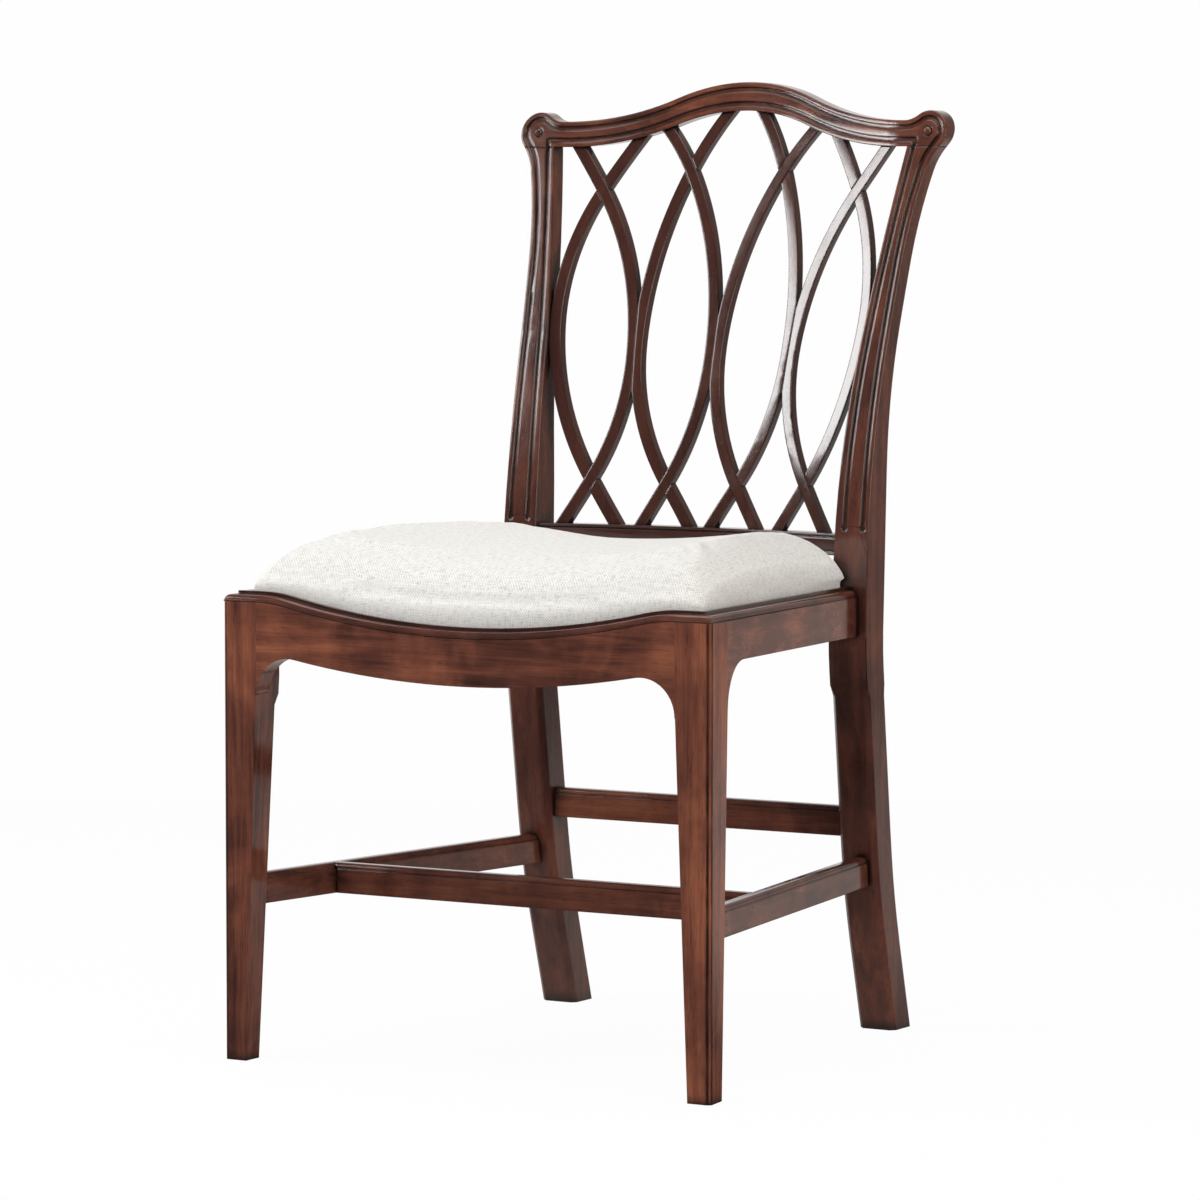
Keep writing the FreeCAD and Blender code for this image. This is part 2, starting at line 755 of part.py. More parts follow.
def post_inner_x(z):
    p, m, q = post_inner().pieces[-1][:3]
    r = ((q[0] - p[0]) ** 2 + (q[1] - p[1]) ** 2) / (2 * (q[0] - p[0]))
    return p[0] + r - math.sqrt(r * r - (z - p[1]) ** 2)


def bar_start(oval, outward):
    # middle of the bar where it meets its neighbour, and the lean of the meeting line
    if oval == 0 and not outward:
        return (CENTRE_REACH, MEET_Z), 0.0
    if oval == 0:
        return (QUARTER_X - QUARTER_REACH, MEET_Z), QUARTER_LEAN
    if not outward:
        return (QUARTER_X + QUARTER_REACH, MEET_Z), QUARTER_LEAN
    lean = (post_inner_x(POST_MEET_Z + 5) - post_inner_x(POST_MEET_Z - 5)) / 10
    return (post_inner_x(POST_MEET_Z) - BAR_W / 2 - BAR_GAP, POST_MEET_Z), lean


def bar_track(oval, outward):
    # one bar of an oval on the right half of the back, from the lower rail to the crest
    start, lean = bar_start(oval, outward)
    heading = UP - math.atan(lean)
    low_x = LOW_X[oval][outward]
    high_x = HIGH_X[oval][outward]
    rising = Track(start, heading).bend(CROSS_HIGH[oval]).bend((high_x, crest_low_z(high_x) + TENON))
    falling = Track(start, heading + math.pi).bend(CROSS_LOW[oval]).bend((low_x, LOW_TOP - TENON))
    return falling.backwards().joined(rising)


def beyond(x, lean, s):
    # everything on one side of a meeting line, where a bar is planed flat against its neighbour
    low = LOW_TOP - 60
    near = [(x + lean * (z - MEET_Z) + s * BAR_GAP / 2, z) for z in (low, OVER_TOP)]
    return across(polygon([near[0], near[1], (s * FRONT_W, OVER_TOP), (s * FRONT_W, low)], front))


def crest_low_z(x):
    rise = CREST_TOP - CREST_H - JOINT_Z
    turn = CREST_TURN * LOW_FLAT
    if x < turn:
        return JOINT_Z + rise * (1 - CREST_TURN * (x / turn) ** 2)
    return JOINT_Z + rise * (1 - CREST_TURN) * (max(LOW_FLAT - x, 0) / (LOW_FLAT - turn)) ** 2


def bar_prism(track, spare):
    return across(ribbon(track, BAR_W / 2 + spare, -BAR_W / 2 - spare, front))


def trellis_bars():
    z0 = LOW_TOP - TENON - 8
    z1 = CREST_TOP
    mid = HOLLOW + BAR_T / 2
    whole = back_layer(HOLLOW, HOLLOW + BAR_T, z0, z1)
    front_half = back_layer(HOLLOW - 2, mid + LAP_GAP / 2, z0, z1)
    rear_half = back_layer(mid - LAP_GAP / 2, HOLLOW + BAR_T + 2, z0, z1)
    bars = []
    for oval in (0, 1):
        a = bar_track(oval, False)
        b = bar_track(oval, True)
        over = whole.common(bar_prism(a, 0)).cut(rear_half.common(bar_prism(b, LAP_GAP)))
        under = whole.common(bar_prism(b, 0)).cut(front_half.common(bar_prism(a, LAP_GAP)))
        if oval == 0:
            over = over.common(beyond(0, 0, 1))
            under = under.common(beyond(QUARTER_X, QUARTER_LEAN, -1))
        else:
            over = over.common(beyond(QUARTER_X, QUARTER_LEAN, 1))
        bars += [over, under]
    return bars


def low_rail():
    near = HOLLOW - LOW_PROUD
    z0 = LOW_TOP - LOW_H
    rail = leaning_layer(near, near + LOW_T, z0, LOW_TOP)
    for z in (LOW_TOP - 4.4, z0 + 3.0):
        rail = rail.cut(leaning_layer(near - 3, near + 1.6, z, z + 1.4))
    return rail


def low_tenon(room):
    y = post_front(LOW_TOP - LOW_H / 2) + 15.5
    z = LOW_TOP - LOW_H / 2
    t = box(KNEE_IN - 5, KNEE_IN + 16 + room, y - 4 - room, y + 4 + room, z - 7 - room, z + 7 + room)
    return t.fuse(mirrored(t))


# Stretchers

def stretcher_section(top):
    # upright bar with a thumb moulding on both top edges
    half = STR_T / 2
    t = Track((-half, top - STR_H), 0).straight((half, top - STR_H)).straight((half, top - 6.2))
    t.straight((half - 1.3, top - 6.2))
    t.heading = UP
    t.bend((half - 5.4, top)).straight((-half + 5.4, top))
    t.heading = math.pi
    t.bend((-half + 1.3, top - 6.2)).straight((-half, top - 6.2)).straight((-half, top - STR_H))
    return t


def stretcher(length, top):
    put = lambda p: V(0, p[0], p[1])
    return solid(closed(stretcher_section(top).edges(put)), V(length, 0, 0))


STR_START = (HALF_W - 15.4, LEG_D / 2 - 1)
STR_STOP = ((FOOT_IN + FOOT_OUT) / 2 + 2.25, POST_Y + 44.9)
STR_HEADING = math.atan2(STR_STOP[1] - STR_START[1], STR_STOP[0] - STR_START[0])
STR_LEN = math.hypot(STR_STOP[1] - STR_START[1], STR_STOP[0] - STR_START[0])


def side_stretcher():
    return laid(stretcher(STR_LEN, STR_TOP), STR_START, STR_HEADING)


def side_str_tenon(room):
    z0 = STR_TOP - STR_H + 5 - room
    z1 = STR_TOP - 8 + room
    t = box(2 - room, STR_LEN - 2 + room, -4 - room, 4 + room, z0, z1)
    return laid(t, STR_START, STR_HEADING)


def str_x(y):
    part = (y - STR_START[1]) / (STR_STOP[1] - STR_START[1])
    return STR_START[0] + part * (STR_STOP[0] - STR_START[0])


def cross_stretcher():
    y = CROSS_Y + STR_T / 2
    reach = str_x(y) - STR_T / 2
    bar = stretcher(2 * reach + 30, STR_TOP).translated(V(-reach - 15, y, 0))
    return bar


def cross_tenon(room):
    y = CROSS_Y + STR_T / 2
    reach = str_x(y)
    z0 = STR_TOP - STR_H + 5 - room
    z1 = STR_TOP - 8 + room
    return box(-reach - room, reach + room, y - 4 - room, y + 4 + room, z0, z1)


def rear_stretcher():
    y = leg_front(BACK_STR_TOP - STR_H / 2) + POST_T / 2
    reach = KNEE_IN + 15.2
    return stretcher(2 * reach, BACK_STR_TOP).translated(V(-reach, y, 0))


def rear_str_tenon(room):
    y = leg_front(BACK_STR_TOP - STR_H / 2) + POST_T / 2
    z0 = BACK_STR_TOP - STR_H + 5 - room
    z1 = BACK_STR_TOP - 8 + room
    reach = KNEE_IN + 11.2 + room
    return box(-reach, reach, y - 4 - room, y + 4 + room, z0, z1)


# Corner blocks

BLOCK_Z = LEG_TOP - 43.0
BLOCK_H = 27.0


def rail_inner_x(y):
    return rail_x(y) - RAIL_T / math.cos(math.atan(RAIL_SLOPE))


def front_block():
    inner = HALF_W - LEG_W
    rear = LEG_D + 60
    points = [(inner - 64, RAIL_T), (inner - 0.2, RAIL_T), (inner - 0.2, LEG_D + 0.2),
              (rail_inner_x(LEG_D + 0.2), LEG_D + 0.2), (rail_inner_x(rear), rear)]
    return plan_block(points, BLOCK_Z, BLOCK_Z + BLOCK_H)


def rear_block():
    back = REAR_RAIL_Y - 0.2
    near = back - 71
    points = [(KNEE_IN - 55, back), (rail_inner_x(back), back), (rail_inner_x(near), near)]
    return plan_block(points, BLOCK_Z, BLOCK_Z + BLOCK_H)


# Drop-in seat, drawn level and then tilted with the rails

SEAT_Y0 = MOULD_W + FIT


def seat_half(y):
    return edge_x(y) - MOULD_W * math.hypot(1, EDGE_SLOPE) - FIT


def tilted(shape):
    shape = shape.copy()
    shape.rotate(V(0, 0, LEG_TOP), V(1, 0, 0), -math.degrees(math.atan(SEAT_DROP / POST_Y)))
    return shape


def seat_plan(y0, y1, inset):
    points = [(-seat_half(y0) + inset, y0), (seat_half(y0) - inset, y0),
              (seat_half(y1) - inset, y1), (-seat_half(y1) + inset, y1)]
    return points


WRAP = CLOTH + 0.4     # cloth round the seat frame
FRAME_Z = LEG_TOP + 0.4
REAR_DIP = 6.0
FLAT_DIP = 0.6         # the rear member is flat underneath
DECK = 2.8             # room for the webbing under the foam
STRAP_W = 44.0
STRAP_T = 1.3
STRAP_PITCH = 56.0
DUST_T = 0.8
WEB_Y0 = SEAT_Y0 + WRAP + SEAT_FRAME_W - 16
WEB_Y1 = SEAT_REAR - WRAP - SEAT_FRAME_W + 3


def dip_at(y, rear):
    # the dip eases from the front member to the given dip at the rear member
    part = min(max((y - WEB_Y0) / (WEB_Y1 - WEB_Y0), 0), 1)
    return DIP + (rear - DIP) * part


def flat_at(y):
    return DIP_FLAT * seat_half(y) / seat_half(SEAT_Y0) - 8


def seat_front_member():
    y0 = SEAT_Y0 + WRAP
    y1 = y0 + SEAT_FRAME_W
    low = dip_track(DIP_FLAT, DIP, FRAME_Z, HALF_W)
    high = dip_track(DIP_FLAT, DIP, FRAME_Z + SEAT_FRAME_H, HALF_W)
    ends = [line(front(low.first()), front(high.first())), line(front(low.end), front(high.end))]
    bar = solid(closed(low.edges(front) + high.edges(front) + ends), V(0, SEAT_REAR, 0))
    return bar.common(plan_block(seat_plan(y0, y1, WRAP), LEG_TOP - SIDE_H, LEG_TOP + SIDE_H))


def seat_rear_member():
    y1 = SEAT_REAR - WRAP
    y0 = y1 - SEAT_FRAME_W
    top = dip_track(flat_at(y0), REAR_DIP, FRAME_Z + SEAT_FRAME_H, HALF_W)
    points = [top.first(), (-HALF_W, FRAME_Z), (HALF_W, FRAME_Z), top.end]
    rest = [line(front(points[i]), front(points[i + 1])) for i in range(3)]
    bar = solid(closed(top.edges(front) + rest), V(0, SEAT_REAR, 0))
    return bar.common(plan_block(seat_plan(y0, y1, WRAP), LEG_TOP - SIDE_H, LEG_TOP + SIDE_H))


def seat_side_member():
    y0 = SEAT_Y0 + WRAP + SEAT_FRAME_W
    y1 = SEAT_REAR - WRAP - SEAT_FRAME_W
    points = [(seat_half(y0) - WRAP, y0), (seat_half(y1) - WRAP, y1),
              (seat_half(y1) - WRAP - SEAT_FRAME_W, y1), (seat_half(y0) - WRAP - SEAT_FRAME_W, y0)]
    return plan_block(points, FRAME_Z, FRAME_Z + SEAT_FRAME_H)


def webbing():
    straps = []
    top = FRAME_Z + SEAT_FRAME_H + 0.5
    half = STRAP_W / 2
    for i in range(-2, 3):
        x = i * STRAP_PITCH
        ends = []
        for y, d, k in ((WEB_Y0, DIP, 1.0), (WEB_Y1, REAR_DIP, 0.8)):
            left = (x * k - half, dip_z(x * k - half, flat_at(y), d, top))
            right = (x * k + half, dip_z(x * k + half, flat_at(y), d, top))
            points = [left, right, (right[0], right[1] + STRAP_T), (left[0], left[1] + STRAP_T)]
            ends.append(polygon(points, lambda p: V(p[0], y, p[1])))
        straps.append(Part.makeLoft(ends, True, True))
    return Part.makeCompound(straps)


# Stuffed top: rounded over at the front and rear, ridged along the sides, hollow in the middle
FRONT_ROLL = 48.0
REAR_ROLL = 46.0
ROLL_STEPS = (0, 28, 56, 90)
PAD_EDGE = 10.0        # stuffing over the seat frame at the very edge
RIDGE_TOP = LEG_TOP + 70.0
RIDGE_Y = 220.0        # highest station of the side ridges
RIDGE_BOW = 0.00025
HOLLOW_FRONT = 17.0    # middle of the seat below its ridges
HOLLOW_REAR = 11.0
FOAM_LEAD = 0.65       # the foam starts this share of the first step in from the ends


def pad_stations(shrink, lead):
    # distance from the front and fullness from 0 at the edge to 1, the end stations moved in by the lead
    turns = [math.radians(a) for a in ROLL_STEPS]
    front_part = [(SEAT_Y0 + FRONT_ROLL * (1 - math.cos(a)), math.sin(a)) for a in turns]
    rear_part = [(SEAT_REAR - REAR_ROLL * (1 - math.cos(a)), math.sin(a)) for a in turns]
    stations = front_part + [(0.42 * SEAT_REAR, 1.0), (0.68 * SEAT_REAR, 1.0)] + rear_part[::-1]
    stations[0] = (SEAT_Y0 + shrink, 0.0)
    stations[-1] = (SEAT_REAR - shrink, 0.0)
    for end, beside in ((0, 1), (-1, -2)):
        stations[end] = tuple(p + lead * (q - p) for p, q in zip(stations[end], stations[beside]))
    return stations


def pad_heights(y, fullness):
    edge = FRAME_Z + SEAT_FRAME_H + PAD_EDGE
    ridge = RIDGE_TOP - RIDGE_BOW * (y - RIDGE_Y) ** 2
    hollow = HOLLOW_FRONT + (HOLLOW_REAR - HOLLOW_FRONT) * (y - SEAT_Y0) / (SEAT_REAR - SEAT_Y0)
    edge_middle = edge - 0.85 * dip_at(y, REAR_DIP)
    return edge + fullness * (ridge - edge), edge_middle + fullness * (ridge - hollow - edge_middle)


def dipped_line(half, flat, dip, z):
    # the saddle line from left to right as a chain of short flats
    right = (0.24, 0.48, 0.70, 0.80, 0.89, 1.0)
    parts = [-p for p in reversed(right)] + [0.0] + list(right)
    return [(p * half, dip_z(p * half, flat, dip, z)) for p in parts]


def chain(points):
    return [line(a, b) for a, b in zip(points, points[1:])]


def pad_section(y, fullness, shrink, low, rear, counts):
    ridge, middle = pad_heights(y, fullness)
    h = seat_half(y) - shrink
    shoulder = 12 + 24 * fullness - shrink * 0.3
    base = dipped_line(h, flat_at(y), dip_at(y, rear), low)
    put = lambda p: V(p[0], y, p[1])
    wall = max(FRAME_Z + SEAT_FRAME_H + 20 * fullness - shrink, low + 2)
    ridge -= shrink
    edges = chain([put(p) for p in base])
    ends = [put((s * (h - shoulder), ridge)) for s in (-1, 1)]
    arcs = [Part.Arc(ends[0], put((0, middle - shrink)), ends[1]).toShape()]
    for s in (1, -1):
        over = (s * (h - 0.27 * shoulder), wall + 0.7 * (ridge - wall))
        edges.append(line(put((s * h, low)), put((s * h, wall))))
        arcs.append(Part.Arc(put((s * h, wall)), put(over), put((s * (h - shoulder), ridge))).toShape())
    for arc, count in zip(arcs, counts):
        edges += chain(arc.discretize(count))
    return closed(edges)


INSIDE = (9, 4, 4)     # points along the top and the two shoulders
OUTSIDE = (17, 8, 8)


def pad(shrink, low, rear, counts, lead=0.0):
    sections = [pad_section(y, f, shrink, low, rear, counts) for y, f in pad_stations(shrink, lead)]
    return Part.makeLoft(sections, True, True)


def seat_foam():
    return pad(WRAP, FRAME_Z + SEAT_FRAME_H + DECK, REAR_DIP, INSIDE, FOAM_LEAD)


def seat_cover():
    # linen, hollow underneath where it is drawn over the foam and the seat frame
    inside = pad(CLOTH, FRAME_Z - SIDE_H, FLAT_DIP, INSIDE)
    return pad(0, FRAME_Z, FLAT_DIP, OUTSIDE).cut(inside)


def dust_cover():
    # thin cloth under the seat frame that follows its dip
    y0 = SEAT_Y0 + WRAP + SEAT_FRAME_W + 1
    y1 = SEAT_REAR - 22
    rings = []
    for y, dip in ((y0, DIP), (y1, FLAT_DIP)):
        put = lambda p: V(p[0], y, p[1])
        half = seat_half(y) - 17
        top = [put(p) for p in dipped_line(half, flat_at(y) - 8, dip, FRAME_Z - 0.3)]
        rings.append(top + [p - V(0, 0, DUST_T) for p in reversed(top)])
    return faceted(*rings)


def faceted(near, far):
    # solid between two outlines of as many points each, with flat facets between them
    faces = [Part.Face(polygon(ring, lambda p: p)) for ring in (near, far)]
    for i in range(len(near)):
        a, b, c, d = near[i - 1], near[i], far[i], far[i - 1]
        outward = abs(b.x) > abs(a.x)
        halves = ((a, b, c), (a, c, d)) if outward else ((a, b, d), (b, c, d))
        faces += [Part.Face(polygon(corners, lambda p: p)) for corners in halves]
    skin_of_facets = Part.makeShell(faces)
    skin_of_facets.sewShape()
    return Part.Solid(skin_of_facets)


def between_posts(piece, post):
    # trim a cross piece to an upright on the right and to its mirror image on the left
    trimmed_piece = piece.cut(post).cut(mirrored(post))
    return max(trimmed_piece.Solids, key=lambda q: q.Volume)


def build():
    post = rear_post()
    leg = front_leg()
    s_rail = side_rail().cut(upper_post()).fuse(side_tenon(0)).removeSplitter()
    f_rail = front_rail()
    r_rail = between_posts(rear_rail(), post).fuse(rear_tenon(0)).removeSplitter()
    crest = crest_rail()
    bars = trellis_bars()
    low = between_posts(low_rail(), post).fuse(low_tenon(0)).removeSplitter()
    s_str = side_stretcher().cut(leg).cut(post)
    s_str = s_str.fuse(side_str_tenon(0)).removeSplitter()
    c_str = between_posts(cross_stretcher(), s_str).fuse(cross_tenon(0)).removeSplitter()
    b_str = between_posts(rear_stretcher(), post).fuse(rear_str_tenon(0)).removeSplitter()
    f_block = front_block()
    r_block = rear_block()
    # sockets for every tenon
    room = MORTISE
    leg = leg.cut(front_tenon(1, room)).cut(side_tenon(room)).cut(side_str_tenon(room))
    post = post.cut(side_tenon(room)).cut(rear_tenon(room)).cut(low_tenon(room))
    post = post.cut(side_str_tenon(room)).cut(rear_str_tenon(room))
    s_str = s_str.cut(cross_tenon(room))
    crest = crest.cut(top_tenon(room)).cut(mirrored(top_tenon(room)))
    crest = crest.cut(boss_hole()).cut(mirrored(boss_hole()))
    for bar in bars:
        crest = crest.cut(bar).cut(mirrored(bar))
        low = low.cut(bar).cut(mirrored(bar))
    s_mould = side_moulding().cut(upper_post())
    boss = ear_boss()
    side_member = tilted(seat_side_member())
    nodes = {
        "front_leg_right": leg, "front_leg_left": mirrored(leg),
        "rear_post_right": post, "rear_post_left": mirrored(post),
        "front_seat_rail": f_rail, "rear_seat_rail": r_rail,
        "side_seat_rail_right": s_rail, "side_seat_rail_left": mirrored(s_rail),
        "seat_moulding_front": front_moulding(),
        "seat_moulding_right": s_mould, "seat_moulding_left": mirrored(s_mould),
        "crest_rail": crest, "lower_back_rail": low,
        "ear_bosses": Part.makeCompound([boss, mirrored(boss)]),
        "side_stretcher_right": s_str, "side_stretcher_left": mirrored(s_str),
        "cross_stretcher": c_str, "rear_stretcher": b_str,
        "corner_block_front_right": f_block, "corner_block_front_left": mirrored(f_block),
        "corner_block_rear_right": r_block, "corner_block_rear_left": mirrored(r_block),
        "seat_frame_front": tilted(seat_front_member()), "seat_frame_rear": tilted(seat_rear_member()),
        "seat_frame_right": side_member, "seat_frame_left": mirrored(side_member),
        "seat_webbing": tilted(webbing()), "seat_foam": tilted(seat_foam()),
        "seat_cover": tilted(seat_cover()), "seat_dust_cover": tilted(dust_cover()),
    }
    for i, bar in enumerate(bars):
        nodes["trellis_bar_%d" % (5 + i)] = bar
        nodes["trellis_bar_%d" % (4 - i)] = mirrored(bar)
    return nodes


def main():
    nodes = build()
    depth = max(s.BoundBox.YMax for s in nodes.values())
    os.makedirs("parts", exist_ok=True)
    for name, shape in nodes.items():
        shape = shape.translated(V(0, -depth / 2, 0))
        shape.exportStep("parts/%s.step" % name)
        b = shape.BoundBox
        print("%-28s solids %2d valid %s  x %.1f..%.1f y %.1f..%.1f z %.1f..%.1f" % (
            name, len(shape.Solids), shape.isValid(), b.XMin, b.XMax, b.YMin, b.YMax, b.ZMin, b.ZMax))
    print("depth", depth)


main()
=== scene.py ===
import math
import random

import bmesh
import bpy
import numpy as np
from mathutils import Matrix, Vector
from mathutils.bvhtree import BVHTree
from mathutils.kdtree import KDTree


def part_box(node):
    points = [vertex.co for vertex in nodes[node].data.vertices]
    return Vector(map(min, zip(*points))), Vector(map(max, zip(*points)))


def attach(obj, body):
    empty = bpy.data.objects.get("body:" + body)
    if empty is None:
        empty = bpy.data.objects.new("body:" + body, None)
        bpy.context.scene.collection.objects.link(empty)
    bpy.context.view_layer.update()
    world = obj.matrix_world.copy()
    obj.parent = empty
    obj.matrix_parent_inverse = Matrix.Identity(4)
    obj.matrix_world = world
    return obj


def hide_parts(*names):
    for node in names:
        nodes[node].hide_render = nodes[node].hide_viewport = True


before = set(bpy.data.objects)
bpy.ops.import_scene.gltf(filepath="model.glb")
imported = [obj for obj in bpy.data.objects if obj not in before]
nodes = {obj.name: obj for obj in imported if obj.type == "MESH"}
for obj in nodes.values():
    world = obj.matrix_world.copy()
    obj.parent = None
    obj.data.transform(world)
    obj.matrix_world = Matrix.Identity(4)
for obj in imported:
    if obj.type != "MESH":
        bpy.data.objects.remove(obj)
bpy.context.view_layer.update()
scene = bpy.context.scene
scene.view_settings.view_transform = "Standard"

# Tones of the finishes, as light reflected in red, green and blue
# The darkest stain also paints shade on pieces that get less light, and the glaze also paints shade into
# corners, crevices, grooves and arrises
DARK_STAIN_AND_SHADE = (0.041, 0.0147, 0.0116, 1)
STAIN_BROWN = (0.176, 0.0570, 0.0345, 1)
STAIN_RED = (0.330, 0.1090, 0.0560, 1)
GLAZE_AND_SHADE = (0.010, 0.0045, 0.0035, 1)
LINEN_LIGHT = (0.86, 0.85, 0.82, 1)
LINEN_MID = (0.77, 0.755, 0.725, 1)
LINEN_DARK = (0.46, 0.445, 0.42, 1)
BEECH_LIGHT = (0.52, 0.36, 0.21, 1)
BEECH_DARK = (0.36, 0.23, 0.12, 1)
JUTE_LIGHT = (0.42, 0.31, 0.18, 1)
JUTE_DARK = (0.24, 0.16, 0.085, 1)
CAMBRIC_LIGHT = (0.045, 0.044, 0.043, 1)
CAMBRIC_DARK = (0.018, 0.018, 0.018, 1)
STEEL = (0.36, 0.34, 0.31, 1)

ALONG_X, ALONG_Y, ALONG_Z = 0, 1, 2


class Value:
    """A socket of a material. Arithmetic on it adds Math nodes."""

    def __init__(self, tree, socket=None):
        self.tree = tree
        self.socket = socket

    def node(self, kind, settings=None, sockets=None, out=0):
        """A new node: its settings come first, then the values or links of its sockets."""
        made = self.tree.nodes.new("ShaderNode" + kind)
        for key, value in (settings or {}).items():
            setattr(made, key, value)
        for key, value in (sockets or {}).items():
            if isinstance(value, Value):
                self.tree.links.new(value.socket, made.inputs[key])
            else:
                made.inputs[key].default_value = value
        return None if out is None else Value(self.tree, made.outputs[out])

    def also(self, out):
        return Value(self.tree, self.socket.node.outputs[out])

    def maths(self, operation, *terms):
        return self.node("Math", {"operation": operation}, dict(enumerate(terms)))

    def __add__(self, other):
        return self.maths("ADD", self, other)

    def __sub__(self, other):
        return self.maths("SUBTRACT", self, other)

    def __mul__(self, other):
        return self.maths("MULTIPLY", self, other)

    def __rsub__(self, other):
        return self.maths("SUBTRACT", other, self)

    __radd__ = __add__
    __rmul__ = __mul__

    def size(self):
        return self.maths("ABSOLUTE", self)

    def between(self, low, high):
        """0 at low and 1 at high, eased."""
        ends = {"Value": self, "From Min": low, "From Max": high}
        return self.node("MapRange", {"interpolation_type": "SMOOTHSTEP"}, ends)

    def tint(self, first, second, factor=None):
        """The first colour where the factor is 0 and the second where it is 1.
        This value itself is the factor if none is given."""
        share = self if factor is None else factor
        return self.node("Mix", {"data_type": "RGBA"}, {0: share, 6: first, 7: second}, 2)

    def scaled(self, sizes, offset=(0, 0, 0)):
        return self.node("Mapping", {}, {"Vector": self, "Location": offset, "Scale": sizes})

    def cloud(self, detail=2.0, rough=0.5, twist=0.0):
        sockets = {
            "Vector": self, "Scale": 1.0, "Detail": detail,
            "Roughness": rough, "Distortion": twist,
        }
        return self.node("TexNoise", {}, sockets, "Fac")

    def bump(self, strength, distance, normal=None):
        """The normal of a surface that has this value as its height."""
        sockets = {"Height": self, "Strength": strength, "Distance": distance}
        if normal:
            sockets["Normal"] = normal
        return self.node("Bump", {}, sockets, "Normal")


def finish(name, **constants):
    """A new material and its shader, with the constants set on the shader's own sockets."""
    material = bpy.data.materials.new(name)
    material.use_nodes = True
    shader = next(n for n in material.node_tree.nodes if n.type == "BSDF_PRINCIPLED")
    for key, value in constants.items():
        shader.inputs[key.replace("_", " ")].default_value = value
    start = Value(material.node_tree)

    def feed(**links):
        for key, value in links.items():
            material.node_tree.links.new(value.socket, shader.inputs[key.replace("_", " ")])
        return material

    return start, feed


# Cloudy stain, in clouds per metre along x, y and z, and where the clouds begin
MOTTLE = (11, 11, 7)
MOTTLE_START = (0.3, 1.7, 0.9)
# Marks per metre along and across the grain
FLAME = (5, 85)
FIBRE = (17, 640)
PORES = (70, 1500)
WORN_PATCHES = (30, 30)
LACQUER_WAVES = (11, 26)
DENTS = 62.0
# How far painted shade reaches out of a wide corner, and glaze and painted shade out of a crevice
CORNER_REACH = 0.016
CREVICE_REACH = 0.004
# Half the width of the glaze and painted shade in a bead's groove, faint and full, and the depth at
# which the face begins
GROOVE_FAINT, GROOVE_FULL = 0.0019, 0.0007
FACE_FROM, FACE_TO = 0.0016, 0.0024


